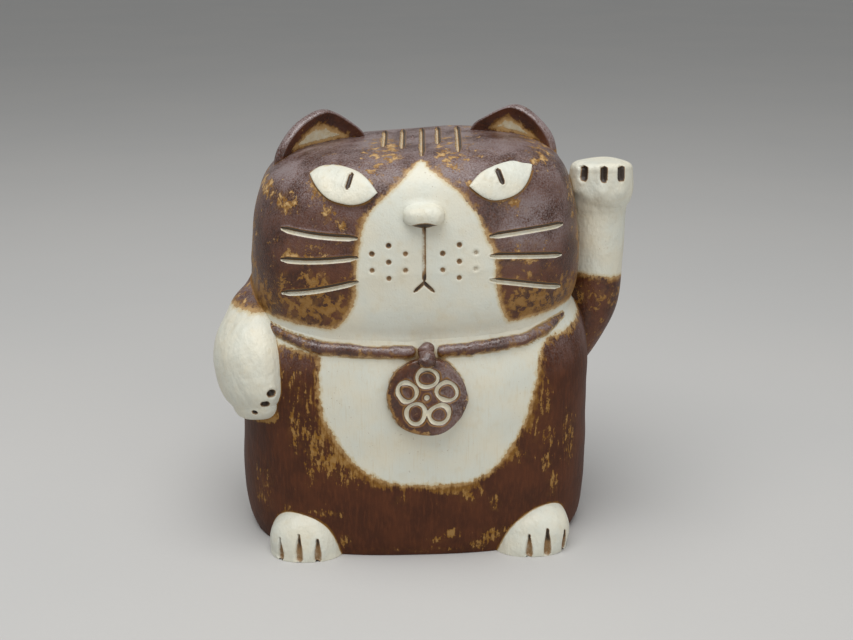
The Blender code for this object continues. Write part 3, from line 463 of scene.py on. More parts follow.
def head_form(scene):
    """The head's form."""
    sizes, half = scene.cat_head, (HEAD_HIGH - HEAD_LOW) / 2
    return Form(
        half.x, half.y, sizes.level, sizes.rise, sizes.drop, sizes.plan, sizes.crown, sizes.jowl,
        taper=sizes.taper, lean=sizes.lean,
    )


def nose_form(scene):
    """The nose, an egg with its thin end up, about its own middle."""
    face = scene.cat_face
    return Form(face.nose_width / 2, face.nose_thickness, 0, face.nose_upper, face.nose_lower, 2.9, 2.5, 2.8)


def seam_height(body, head, turn):
    """Heights at which the head meets the body, at angles in plan."""
    turn = np.asarray(turn, float)
    low = np.full(turn.shape, head.level - head.drop)
    high = np.full(turn.shape, head.level)
    for _ in range(SEAM_HALVINGS):
        height = (low + high) / 2
        inside = body.radius(turn, height) > head.radius(turn, height)
        low = np.where(inside, height, low)
        high = np.where(inside, high, height)
    return low


def ramp(values, low, high):
    """0 at low, 1 at high and smooth between. High may be below low."""
    part = np.clip((values - low) / (high - low), 0, 1)
    return part * part * (3 - 2 * part)


def hump(values, middle, width):
    """1 at the middle, falling softly to 0 beside it."""
    return np.exp(-(((values - middle) / width) ** 2))


def unit(ways):
    """Directions as vectors of length 1."""
    return ways / np.linalg.norm(ways, axis=-1, keepdims=True)


def turn_of(points):
    """Angles of points in plan."""
    return np.arctan2(points[:, 1], points[:, 0])


def degrees_from_front(points):
    """How far round from the front points are, to either side, in degrees."""
    return np.abs(np.degrees(np.arctan2(points[:, 0], -points[:, 1])))


def gap_from(points, *forms):
    """Millimetres that points are out of the nearest of some forms, or in it if negative."""
    return np.min([form.clearance(points) for form in forms], axis=0) / MM


def smooth_between(values, position):
    """Catmull-Rom value at positions counted in entries of a list."""
    values = np.asarray(values, float)
    last = len(values) - 1
    index = np.clip(np.floor(position).astype(int), 0, last - 1)
    part = position - index
    if values.ndim > 1:
        part = part[..., None]
    before, start = values[np.maximum(index - 1, 0)], values[index]
    end, after = values[index + 1], values[np.minimum(index + 2, last)]
    pull = (end - before) * 0.5 * part * (1 - part) ** 2
    push = (after - start) * 0.5 * part**2 * (1 - part)
    blend = part * part * (3 - 2 * part)
    return start + (end - start) * blend + pull - push


def closed_curve(points, steps):
    """A smooth closed outline through a few points, with steps between each two."""
    looped = [points[-1], *points, points[0], points[1]]
    position = 1 + np.arange(len(points) * steps) / steps
    return smooth_between(looped, position)


def inside_outline(places, outline):
    """Which places of the front view lie inside a closed outline."""
    x, z = places.T
    found = np.zeros(len(places), bool)
    for (x0, z0), (x1, z1) in zip(outline, np.roll(outline, -1, axis=0)):
        crosses = (z0 > z) != (z1 > z)
        if crosses.any():
            found ^= crosses & (x < x0 + (z - z0) * (x1 - x0) / (z1 - z0 + 1e-12))
    return found


def from_line(points, places, closed=False):
    """Distance of points from a line of straight runs, and the share of the line that is nearest."""
    places = np.asarray(places, float)
    if closed:
        places = np.vstack([places, places[:1]])
    lengths = np.linalg.norm(np.diff(places, axis=0), axis=1)
    travelled = np.concatenate([[0], np.cumsum(lengths)])
    nearest = np.full(len(points), FAR)
    along = np.zeros(len(points))
    for index, run in enumerate(np.diff(places, axis=0)):
        offset = points - places[index]
        part = np.clip(offset @ run / max(run @ run, 1e-18), 0, 1)
        distance = np.linalg.norm(offset - part[:, None] * run, axis=1)
        closer = distance < nearest
        nearest = np.where(closer, distance, nearest)
        along = np.where(closer, (travelled[index] + part * lengths[index]) / travelled[-1], along)
    return nearest, along


def within(points, outline, form):
    """Millimetres that points lie inside an outline of the front view, drawn on a form's front."""
    curve = closed_curve(outline, 4) * MM
    drawn = form.front(curve[:, 0], np.minimum(curve[:, 1], form.level + form.rise * 0.975))
    distance, _ = from_line(points, drawn, closed=True)
    inside = inside_outline(points[:, [0, 2]], curve) & (points[:, 1] < 0)
    return np.where(inside, distance, -distance) / MM


def pressed(points, places, width, ends=0.1):
    """Distance of points from a pressed line as a share of its half width, which tapers to its ends."""
    distance, along = from_line(points, places)
    from_end = np.minimum(along, 1 - along)
    return distance / (width / 2 * (0.55 + 0.45 * ramp(from_end, 0, ends)))


def dent(shares, depth, lip=0.12 * MM):
    """How far a pressed mark moves the clay in, with a low lip beside it."""
    return depth * ramp(shares, 1.05, 0.25) - lip * hump(shares, 1.45, 0.38)


def unevenness(points, size, height, seed):
    """A slow rise and fall left by the hand, about size across and height high."""
    dice = np.random.RandomState(seed)
    waves = 7
    total = np.zeros(len(points))
    for _ in range(waves):
        way = dice.normal(size=3)
        way *= 2 * np.pi / (size * dice.uniform(0.7, 1.6)) / np.linalg.norm(way)
        total += np.sin(points @ way + dice.uniform(0, 2 * np.pi))
    return total * height / math.sqrt(waves)


def hand(points):
    """The unevenness that the body and the head share, so that they still meet."""
    return unevenness(points, 36 * MM, 0.32 * MM, 71) + unevenness(points, 12 * MM, 0.07 * MM, 72)


def wear(points, spots, seed):
    """How worn the slip is: from a list of soft spots on the front, and by chance elsewhere."""
    softness = 1.3
    total = np.zeros(len(points))
    for x, z, wide, tall, amount in spots:
        across = (points[:, 0] / MM - x) / (wide * softness)
        up = (points[:, 2] / MM - z) / (tall * softness)
        total = np.maximum(total, amount * np.exp(-0.5 * (across**2 + up**2) ** 1.5))
    edges = np.clip(unevenness(points, 34 * MM, 0.55, seed) - 0.12, 0, 0.9)
    front = ramp(-points[:, 1], -14 * MM, 2 * MM)
    return total * front + edges * (1 - front)


def start_piece(name):
    """Names the primitive that was just added."""
    piece = bpy.context.object
    piece.name = name
    piece.data.name = name
    return piece


def on_all(operator, **settings):
    """Runs an operator of edit mode on the whole of the active piece."""
    bpy.ops.object.mode_set(mode="EDIT")
    bpy.ops.mesh.select_all(action="SELECT")
    operator(**settings)
    bpy.ops.object.mode_set(mode="OBJECT")


def on_chosen(piece, kind, chosen, *steps):
    """Runs operators of edit mode, each with its settings, on the chosen points or faces."""
    bpy.ops.object.mode_set(mode="EDIT")
    bpy.ops.mesh.select_mode(type=kind)
    bpy.ops.mesh.select_all(action="DESELECT")
    edited = bmesh.from_edit_mesh(piece.data)
    for part, picked in zip(edited.verts if kind == "VERT" else edited.faces, chosen):
        if picked:
            part.select_set(True)
    bmesh.update_edit_mesh(piece.data)
    for operator, settings in steps:
        operator(**settings)
    bpy.ops.object.mode_set(mode="OBJECT")


def cut_at_floor():
    """Cuts off what the active piece has below the floor and closes the cut."""
    on_all(bpy.ops.mesh.bisect, plane_co=(0, 0, 0), plane_no=(0, 0, 1), use_fill=True, clear_inner=True)


def clay_block(name, quads):
    """A cube of half size 1, each side divided into a grid."""
    bpy.ops.object.select_all(action="DESELECT")
    bpy.ops.mesh.primitive_cube_add(size=2)
    piece = start_piece(name)
    on_all(bpy.ops.mesh.subdivide, number_cuts=quads - 1)
    return piece


def clay_ball(name, around, along):
    """A ball, and for each of its points its way from the lower pole, 0 to 1, and its turn."""
    bpy.ops.object.select_all(action="DESELECT")
    bpy.ops.mesh.primitive_uv_sphere_add(segments=around, ring_count=along, radius=1)
    piece = start_piece(name)
    points = points_of(piece)
    return piece, 1 - np.arccos(np.clip(points[:, 2], -1, 1)) / np.pi, turn_of(points)


def rows_of(parts, name):
    """The three numbers that each point or face of a mesh has under a name."""
    found = np.empty(len(parts) * 3, np.float32)
    parts.foreach_get(name, found)
    return found.reshape(-1, 3).astype(float)


def points_of(piece):
    """A piece's points."""
    return rows_of(piece.data.vertices, "co")


def normals_of(piece):
    """The directions out of a piece at its points."""
    return rows_of(piece.data.vertex_normals, "vector")


def upward(piece):
    """How far a piece's points face up: 1 up, -1 down."""
    return normals_of(piece)[:, 2]


def face_middles(piece):
    """The middles of a piece's faces."""
    return rows_of(piece.data.polygons, "center")


def move_points(piece, points):
    """Moves a piece's points, and gives them back as the piece keeps them."""
    piece.data.vertices.foreach_set("co", np.asarray(points, np.float32).ravel())
    piece.data.update()
    return points_of(piece)


def shape(piece, points):
    """Gives the piece that was just added its shape, its faces outwards, and gives its points back."""
    move_points(piece, points)
    on_all(bpy.ops.mesh.normals_make_consistent, inside=False)
    return points_of(piece)


def set_down(piece):
    """Brings a piece's points up to the floor where they are below it, and gives its points back."""
    return move_points(piece, np.maximum(points_of(piece), (-FAR, -FAR, 0)))


def push(piece, distance):
    """Moves a piece's points out along its surface's directions, and gives them back."""
    return move_points(piece, points_of(piece) + normals_of(piece) * np.asarray(distance)[:, None])


def welded(piece, own, other, reach):
    """How far the surface of one form rises into a soft hollow where it meets another.

    Both forms rise onto the same hollow, and each dives under the other past the middle.
    """
    start, out = points_of(piece), normals_of(piece)
    reach = np.broadcast_to(reach, len(start))
    lift = np.zeros(len(start))
    close = np.flatnonzero(other(start) - own(start) < reach)
    start, out, reach = start[close], out[close], reach[close]
    found = np.zeros(len(close))
    for _ in range(WELD_SETTLING):
        points = start + out * found[:, None]
        beyond = (own(points) - other(points)) / reach
        found = reach / 4 * np.clip(1 + beyond, 0, 2) ** 2 * ramp(beyond, 0.9, 0.1)
    lift[close] = found
    return lift


def nearest_gap(points, others):
    """Millimetres from points to the nearest of some pieces, up to a limit."""
    limit = 4 * MM
    found = np.full(len(points), limit)
    graph = bpy.context.evaluated_depsgraph_get()
    for other in others:
        tree = BVHTree.FromObject(other, graph)
        spread = points_of(other)
        low, high = spread.min(0) - limit, spread.max(0) + limit
        for index in np.flatnonzero(((points > low) & (points < high)).all(1)):
            hit = tree.find_nearest(points[index], limit)
            if hit[0] is not None:
                found[index] = min(found[index], hit[3])
    return found / MM


# What a point stores: millimetres inside the cream, wear of the slip, cream laid in a pressed
# line, iron in a pressed mark and painted shade, millimetres to the next piece, and the film
# with painted sheen on what faces up
FIELDS = {"cream": -FAR, "worn": 0.0, "inlay": 0.0, "iron": 0.0, "contact": 9.0, "bloom": 0.0}


def paint(piece, **fields):
    """Stores what the glaze does at each point, and the painted shade and sheen: see FIELDS."""
    for field, usual in FIELDS.items():
        values = np.broadcast_to(fields.get(field, usual), len(piece.data.vertices))
        layer = piece.data.attributes.new(field, "FLOAT", "POINT")
        layer.data.foreach_set("value", np.asarray(values, np.float32))


def fire(piece, finish, slot, *nodes):
    """Gives a piece its finish, shades it smooth and puts it in place of its CAD nodes."""
    material = bpy.data.materials.get(finish) or glazed(finish, bpy.context.scene.cat_glaze)
    piece.data.materials.clear()
    piece.data.materials.append(material)
    bpy.ops.object.select_all(action="DESELECT")
    piece.select_set(True)
    bpy.context.view_layer.objects.active = piece
    bpy.ops.object.shade_smooth()
    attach(piece, "root")
    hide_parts(*nodes)


class Signal:
    """A number on its way through a material's nodes, for use in expressions."""

    def __init__(self, finish, socket):
        self.finish = finish
        self.socket = socket

    def math(self, operation, *values):
        """The result of a Math node."""
        return self.finish.signal("ShaderNodeMath", {"operation": operation}, dict(enumerate(values)))

    def __add__(self, other):
        return self.math("ADD", self, other)

    def __radd__(self, other):
        return self.math("ADD", other, self)

    def __sub__(self, other):
        return self.math("SUBTRACT", self, other)

    def __rsub__(self, other):
        return self.math("SUBTRACT", other, self)

    def __mul__(self, other):
        return self.math("MULTIPLY", self, other)

    def __rmul__(self, other):
        return self.math("MULTIPLY", other, self)

    def least(self, other):
        """The smaller of two numbers."""
        return self.math("MINIMUM", self, other)

    def most(self, other):
        """The larger of two numbers."""
        return self.math("MAXIMUM", self, other)

    def ramp(self, low, high):
        """0 at low, 1 at high and smooth between. High may be below low."""
        settings = {"interpolation_type": "SMOOTHSTEP", "clamp": True}
        inputs = {"Value": self, "From Min": low, "From Max": high, "To Min": 0.0, "To Max": 1.0}
        return self.finish.signal("ShaderNodeMapRange", settings, inputs)


class Finish:
    """The nodes of one fired surface."""

    def __init__(self, name):
        self.material = bpy.data.materials.new(name)
        self.material.use_nodes = True
        self.tree = self.material.node_tree
        self.tree.nodes.clear()
        self.place = self.signal("ShaderNodeTexCoord", {}, {}, "Object")

    def node(self, kind, settings, inputs):
        """Adds a node: its settings first, then the values or links of its sockets."""
        made = self.tree.nodes.new(kind)
        for key, value in settings.items():
            setattr(made, key, value)
        for key, value in inputs.items():
            if isinstance(value, Signal):
                self.tree.links.new(value.socket, made.inputs[key])
            else:
                made.inputs[key].default_value = value
        return made

    def signal(self, kind, settings, inputs, output=0):
        """Adds a node and gives one of its outputs."""
        return Signal(self, self.node(kind, settings, inputs).outputs[output])

    def field(self, name):
        """What the points of a piece store under a name."""
        return self.signal("ShaderNodeAttribute", {"attribute_name": name}, {}, "Fac")

    def stretched(self, across, up):
        """The place in the object, with a pattern drawn out along Z."""
        inputs = {0: self.place, 1: (across, across, up)}
        return self.signal("ShaderNodeVectorMath", {"operation": "MULTIPLY"}, inputs)

    def noise(self, size, detail=3.0, place=None, roughness=0.55, twist=0.0):
        """Clouds of a size in millimetres, about 0.5 in the middle."""
        inputs = {
            "Vector": place or self.place, "Scale": 1 / (size * MM), "Detail": detail,
            "Roughness": roughness, "Distortion": twist,
        }
        return self.signal("ShaderNodeTexNoise", {}, inputs, "Fac")

    def mix(self, amount, below, above):
        """One colour over another."""
        return self.signal("ShaderNodeMix", {"data_type": "RGBA"}, {0: amount, 6: below, 7: above}, 2)

    def close(self, base, rough, relief, specular):
        """Connects the colours, roughness and relief in millimetres to the surface."""
        bump = self.signal("ShaderNodeBump", {}, {"Strength": 1.0, "Distance": MM, "Height": relief})
        shader = self.node("ShaderNodeBsdfPrincipled", {}, {
            "Base Color": base, "Roughness": rough, "Normal": bump, "Specular IOR Level": specular,
        })
        output = self.node("ShaderNodeOutputMaterial", {}, {})
        self.tree.links.new(shader.outputs[0], output.inputs["Surface"])
        return self.material


# The glazed finishes: how far their strokes run down, the roughness and the reflection of the slip,
# the size of its worn flecks, how grainy it is and how uneven the clay, the last three in millimetres
FINISHES = {
    "slip_satin": (0.08, 0.36, 0.42, 3.0, 0.16, 0.24),
    "slip_brushed": (1.0, 0.58, 0.2, 1.5, 0.05, 0.16),
    "slip_shiny": (0.05, 0.24, 0.6, 2.2, 0.05, 0.55),
    "glaze_and_slip": (0.2, 0.46, 0.4, 2.2, 0.10, 0.80),
}


def glazed(name, glaze):
    """Brown slip beside cream glaze, in one of the finishes."""
    brushed, satin, shine, blotch, sandy, kneaded = FINISHES[name]
    finish = Finish(name)
    cream, worn, inlay, iron, contact, bloom = (finish.field(field) for field in FIELDS)
    slow, patches = finish.noise(11.0), finish.noise(26.0, 2.0)
    ragged, frayed = finish.noise(2.2, 3.0), finish.noise(0.5, 3.0)
    sand, grain = finish.noise(0.26, 2.0), finish.noise(0.55, 2.0)
    strokes = finish.noise(0.9, 4.0, finish.stretched(1.0, 1.0 - 0.80 * brushed))
    lines = finish.noise(0.5, 2.0, finish.stretched(1.0, 0.05))
    mottle = finish.noise(blotch, 5.0, finish.stretched(1.0, 1.0 - 0.55 * brushed), 0.64, 0.3)
    mottle = mottle * (1 - 0.4 * brushed) + strokes * (0.4 * brushed)

    # Where the cream glaze ends
    edge = cream + (ragged - 0.5) * (1.5 + 1.2 * brushed) + (frayed - 0.5) * 0.9
    edge = edge + (strokes - 0.5) * (1.8 * brushed)
    is_cream = edge.ramp(-0.10, 0.18)
    touching = (contact + (ragged - 0.5) * 0.9).ramp(0.65, 0.15)

    # The slip, redder where it is thin, with a grey purple film and painted sheen on what faces up
    redder = slow.ramp(0.38, 0.64) * (0.75 - 0.4 * brushed) + 0.2 * brushed
    slip = finish.mix(redder, glaze.slip_dark, glaze.slip_red)
    slip = finish.mix(strokes.ramp(0.42, 0.74) * 0.6, slip, glaze.slip_red)
    film = bloom * (0.55 + (grain - 0.5) * 2.8 + (slow - 0.5) * 2.6)
    slip = finish.mix(film.least(1.0).most(0.0), slip, glaze.slip_bloom)
    amber = (ragged + worn * 0.12).ramp(0.48, 0.76) * worn.least(1.0) * (0.45 - 0.25 * brushed)
    slip = finish.mix(amber, slip, glaze.ochre_dark)

    # Ochre where the slip is worn through, beside the cream and at the joints
    tired = worn + patches.ramp(0.50, 0.72) * 0.25
    fleck = (mottle + (frayed - 0.5) * 0.18 + tired * (0.25 - 0.05 * brushed)).ramp(0.680, 0.720)
    beside_cream = (edge + (mottle - 0.5) * 9.0 + worn * (1.2 + 1.2 * brushed)).ramp(-2.0, -0.4)
    halo = beside_cream * (0.1 + ragged * 0.9 + strokes * 0.4)
    thin = fleck.most(halo).most(touching * 0.8).least(1.0)
    paler = (mottle + tired * 0.2 + (ragged - 0.5) * 0.5).ramp(0.64, 0.82)
    # Flecks are paler where the film and painted sheen are
    paler = (paler * (bloom * 3.0 + 0.14 + 0.2 * brushed).least(1.0)).most(edge.ramp(-1.7, -0.2) * 0.85)
    base = finish.mix(thin, slip, finish.mix(paler, glaze.ochre_dark, glaze.ochre_pale))

    # The cream with its brush lines, clouds and specks, straw beside the slip and at the joints
    white = finish.mix(slow.ramp(0.3, 0.7), glaze.cream_cool, glaze.cream_warm)
    white = finish.mix(lines.ramp(0.52, 0.80) * (0.04 + 0.24 * brushed), white, glaze.straw)
    white = finish.mix(finish.noise(3.4, 4.0).ramp(0.52, 0.72) * 0.16, white, glaze.straw)
    speck = finish.noise(0.62, 1.0).ramp(0.72, 0.78) * patches.ramp(0.38, 0.62) * 0.55
    white = finish.mix(speck, white, glaze.ochre_dark)
    white = finish.mix((edge.ramp(1.3, 0.0) * 0.75).most(touching * 0.8), white, glaze.straw)
    base = finish.mix(is_cream, base, white)
    base = finish.mix(touching * contact.ramp(0.6, 0.0) * 0.7, base, glaze.ochre_dark)

    # Cream laid in pressed lines, then iron in pressed marks and painted shade in grooves and below the eyes
    # and nose
    laid = (inlay + (frayed - 0.5) * 0.35).ramp(0.42, 0.60)
    filling = finish.mix(ragged.ramp(0.4, 0.6) * 0.3, glaze.cream_warm, glaze.straw)
    base = finish.mix(laid, base, filling)
    iron_and_shade_amount = iron + (ragged - 0.5) * 0.35 + (frayed - 0.5) * 0.3
    base = finish.mix(iron_and_shade_amount.ramp(0.16, 0.5) * 0.9, base, glaze.ochre_dark)
    base = finish.mix(iron_and_shade_amount.ramp(0.5, 0.8) * 0.93, base, glaze.iron)

    covered = is_cream.most(laid)
    rough = (satin + (sand - 0.5) * 0.16 + fleck * 0.12) * (1 - covered) + covered * 0.44
    clay = finish.noise(3.6, 3.0, finish.stretched(1.0, 0.6)) * kneaded + ragged * 0.08
    grains = (sand * 0.4 + grain) * (sandy * (1 - covered * 0.6))
    relief = clay + grains + lines * (0.01 + 0.03 * brushed) + strokes * (0.07 * brushed)
    return finish.close(base, rough, relief + is_cream * 0.08 - thin * 0.035, shine)


GROG_PALE, GROG_DARK = (0.36, 0.24, 0.15, 1.0), (0.10, 0.055, 0.035, 1.0)


def bare_clay(name, glaze):
    """Unglazed stoneware with grog."""
    finish = Finish(name)
    grog, slow, sand = finish.noise(0.9, 3.0), finish.noise(9.0), finish.noise(0.35, 2.0)
    base = finish.mix(slow.ramp(0.3, 0.7), glaze.clay, GROG_PALE)
    base = finish.mix(grog.ramp(0.62, 0.72) * 0.6, base, GROG_DARK)
    return finish.close(base, 0.82 + sand * 0.1, sand * 0.09 + grog * 0.1, 0.3)


def roll_points(way, turn, middles, wides, deeps, across, blunt_start=1.0, blunt_end=1.0):
    """Places the points of a ball on a roll of clay through stations, its ends domed."""
    middles, across = np.asarray(middles, float), np.asarray(across, float)
    last = len(middles) - 1
    run = np.linalg.norm(np.diff(middles, axis=0), axis=1)
    first_dome = min(wides[0], deeps[0]) * (0.6 + 0.9 * blunt_start)
    last_dome = min(wides[-1], deeps[-1]) * (0.6 + 0.9 * blunt_end)
    travelled = way * (first_dome + run.sum() + last_dome) - first_dome
    position = np.interp(travelled, np.concatenate([[0], np.cumsum(run)]), np.arange(last + 1))
    before = np.clip(-travelled / first_dome, 0, 1)
    beyond = np.clip((travelled - run.sum()) / last_dome, 0, 1)

    step = 0.05
    ahead, behind = np.minimum(position + step, last), np.maximum(position - step, 0)
    direction = unit(smooth_between(middles, ahead) - smooth_between(middles, behind))
    wide_way = unit(across - direction * (direction @ across)[:, None])
    deep_way = np.cross(direction, wide_way)
    wide, deep = smooth_between(wides, position), smooth_between(deeps, position)
    lean = (beyond - before) * np.pi / 2
    blunt = np.where(beyond > 0, blunt_end, blunt_start)
    size = np.maximum(np.cos(lean), 0) ** blunt
    pushed = np.minimum(wide, deep) * blunt * np.sin(lean)
    return (
        smooth_between(middles, position)
        + direction * pushed[:, None]
        + wide_way * (wide * size * np.cos(turn))[:, None]
        + deep_way * (deep * size * np.sin(turn))[:, None]
    )


# Each eye by its rise above the head's widest level, the heights of its upper and lower lid, its
# slant, and how far its pupil is inwards and up, in millimetres and degrees
EYES = {"left": (28.4, 4.5, 5.4, 14.4, 1.6, 1.2), "right": (28.0, 3.4, 6.6, 10.4, 0.8, 0.2)}

# The dome of an eye from its back to its front: share of the outline, and how far it is out as a
# share of the thickness, or of the root where it is below 0
EYE_DOME = (
    (0.0, -1.0), (0.6, -1.0), (0.98, -1.0), (1.0, -0.4), (1.0, 0.35), (0.985, 0.66), (0.93, 0.86),
    (0.8, 0.97), (0.6, 1.03), (0.3, 1.07), (0.0, 1.08),
)
PUPIL_DEPTH = 0.8 * MM

# How far to the right of a pressed mark's middle its iron and painted shade lie, leaving its left wall pale
# as if lit
PUPIL_SHADE_SHIFT = np.array((0.2 * MM, 0, 0))
TOE_SHADE_SHIFT = np.array((0.3 * MM, 0, 0))


class CAT_OT_eyes(Operator):
    """Almond pads that follow the face, each with a slit pressed in for its pupil."""

    bl_idname = "cat.eyes"
    bl_label = "Eyes"

    def execute(self, context):
        scene = context.scene
        face, head = scene.cat_face, head_form(scene)
        for name, side in SIDES:
            rise, upper, lower, slant, pupil_in, pupil_up = EYES[name]
            centre = np.array([scene.cat_head.middle + side * face.eye_spread, head.level + rise * MM])
            centre[1] += head.lean * centre[0]
            slant = side * math.radians(slant) + math.atan(head.lean)
            across = np.array([math.cos(slant), math.sin(slant)])
            up = np.array([-math.sin(slant), math.cos(slant)])
            piece, way, turn = clay_ball("eye_" + name + "_glazed", 144, 72)
            part = np.cos(turn)
            lid = np.where(np.sin(turn) > 0, upper, -lower) * MM * (1 - np.abs(part) ** face.eye_corner)
            almond = np.outer(part * face.eye_length / 2, across) + np.outer(lid, up)
            size, out = smooth_between(EYE_DOME, way * (len(EYE_DOME) - 1)).T
            out = np.where(out < 0, out * face.eye_root, out * face.eye_thickness)
            places = centre + size[:, None] * almond
            points = shape(piece, head.front(places[:, 0], places[:, 1], out))

            pupil = centre + np.array([-side * pupil_in, pupil_up]) * MM
            lean = np.array([-side * math.sin(face.pupil_lean), math.cos(face.pupil_lean)])
            ends = pupil + np.outer(np.linspace(-0.5, 0.5, 5), lean * face.pupil_length)
            slit = head.front(ends[:, 0], ends[:, 1], face.eye_thickness * 1.05)
            marks = pressed(points, slit, face.pupil_width, 0.08)
            shaded = pressed(points, slit + PUPIL_SHADE_SHIFT, face.pupil_width, 0.08)
            points = push(piece, unevenness(points, 8 * MM, 0.08 * MM, 3) - dent(marks, PUPIL_DEPTH))
            # Iron with painted shade in the pupil's slit, right of its middle
            paint(
                piece,
                cream=FAR,
                iron=0.98 * ramp(shaded, 1.1, 0.45),
                contact=np.maximum(gap_from(points, head), 0) + 0.1,
            )
            fire(piece, "glaze_and_slip", "cream_glaze", "eye_" + name)
        return {"FINISHED"}


# How far from its middle the painted shadow below the nose has bowed up, by 0.7 to 0.9 mm
NOSE_BOW = 3.6 * MM


def nose_place(scene, head):
    """The nose's middle, on the face."""
    return head.front(scene.cat_head.middle, head.level + scene.cat_face.nose_rise)


def nose_reach(points, middle):
    """How wide the nose is smeared into the face: hardly below, further above."""
    return (0.7 + 1.6 * ramp(points[:, 2] - middle[2], 0.5 * MM, 5.0 * MM)) * MM


class CAT_OT_nose(Operator):
    """An egg of clay, half sunk in the face and smeared into it at the top."""

    bl_idname = "cat.nose"
    bl_label = "Nose"

    def execute(self, context):
        head, nose = head_form(context.scene), nose_form(context.scene)
        middle = nose_place(context.scene, head)
        piece, _, _ = clay_ball("nose_glazed", 96, 72)
        points = shape(piece, nose.onto(points_of(piece)) + middle)
        reach = nose_reach(points, middle)
        lift = welded(piece, lambda spots: nose.clearance(spots - middle), head.clearance, reach)
        points = push(piece, lift)
        bowed = middle[2] - points[:, 2] - ((points[:, 0] - middle[0]) / NOSE_BOW) ** 2 * 0.9 * MM
        # Painted shadow along the nose's underside
        paint(piece, cream=FAR, iron=1.05 * ramp(bowed, 0.5 * MM, 1.9 * MM))
        fire(piece, "glaze_and_slip", "cream_glaze", "nose")
        return {"FINISHED"}


# Each ear by how far its inner end, its outer end and its peak are out, its height, and how far
# out the peak, the outer and the inner corner of its bare floor are
EAR_ENDS = {
    "left": (14.4, 18.8, 0.8, 11.0, 3.2, 18.0, -11.0),
    "right": (12.6, 17.2, 2.4, 9.6, 0.4, 14.0, -7.6),
}
EAR_FLOOR_HEIGHTS = (0.70, -0.2, 0.08)


def swung(offset, turn):
    """Offsets turned about the Z axis."""
    x, y, z = offset.T
    return np.stack([x * math.cos(turn) - y * math.sin(turn), x * math.sin(turn) + y * math.cos(turn), z], -1)


class CAT_OT_ears(Operator):
    """Cupped triangles on the crown's corners, their outer ends turned to the front."""

    bl_idname = "cat.ears"
    bl_label = "Ears"

    def execute(self, context):
        scene = context.scene
        face, head = scene.cat_face, head_form(scene)
        for name, side in SIDES:
            inner, outer, peak, tall, *floor_ends = (value * MM for value in EAR_ENDS[name])
            root = head.crown(scene.cat_head.middle + side * face.ear_spread, face.ear_back)
            foot, deep = root[[0, 2]], face.ear_root
            corners = np.array([
                (peak, tall), (peak + 0.58 * (outer - peak), 0.64 * tall), (outer, -0.15 * tall),
                (0.93 * outer, -deep), (0, -deep), (-0.95 * inner, -deep * 0.4), (-inner, 0.14 * tall),
                (peak - 0.58 * (inner + peak), 0.63 * tall),
            ])
            curve = closed_curve(corners * (side, 1) + foot, 12)
            piece, way, turn = clay_ball("ear_" + name + "_slipped", 128, 80)
            outline = smooth_between(np.vstack([curve, curve[:2]]), (turn / (2 * np.pi) % 1) * len(curve))

            # The cup from its back to its floor: share of the outline and of the thickness
            rim = face.ear_rim / outer
            cup = (
                (0, 0.67), (0.5, 0.65), (0.85, 0.5), (1.0, 0.15), (1.0, -0.13), (1 - rim * 0.4, -0.26),
                (1 - rim, -0.21), (1 - 2.5 * rim, -0.03), (0.42, 0.04), (0.2, 0.06), (0, 0.07),
            )
            rim_edge, floor_edge = 6.0, 7.4
            station = way * (len(cup) - 1)
            size, out = smooth_between(cup, station).T
            middle = foot - (0, 0.3 * tall)
            drawn = middle + (outline - middle) * size[:, None]
            offset = np.stack([drawn[:, 0], root[1] + out * face.ear_thickness, drawn[:, 1]], -1) - root
            points = shape(piece, root + swung(offset, -side * face.ear_turn))
            points = push(piece, unevenness(points, 11 * MM, 0.16 * MM, 11 + side))

            floor = np.column_stack([floor_ends, tall * np.array(EAR_FLOOR_HEIGHTS)]) * (side, 1) + foot
            on_floor = from_line(drawn, floor, closed=True)[0] / MM
            on_floor *= np.where(inside_outline(drawn, floor), 1, -1)
            gap = np.maximum(gap_from(points, head), 0)
            low = (root[2] + 0.40 * tall - points[:, 2]) / MM
            inside = ramp(station, rim_edge, floor_edge)
            bare = np.clip(np.minimum(on_floor - 1.5, low * 0.6), -9, 0.4)
            # Painted sheen on the rim where it faces up
            paint(
                piece,
                cream=np.where(station > rim_edge + 0.5, bare, -9),
                worn=1.3 * ramp(on_floor, -0.9, 1.1) * inside + 0.5 * np.exp(-gap) * (1 - inside),
                bloom=1.25 * ramp(upward(piece), -0.2, 0.7) * (1 - inside) + 0.22 * inside,
            )
            fire(piece, "slip_shiny", "brown_slip", "ear_" + name)
        return {"FINISHED"}


# The bail from its lower to its upper end: share of its length, how proud it stands as a share of
# its thickness, and share of its width
BAIL = ((-0.5, 0.85, 0.9), (-0.15, 0.55, 0.8), (0.15, 0.34, 0.78), (0.5, 0.3, 0.86))


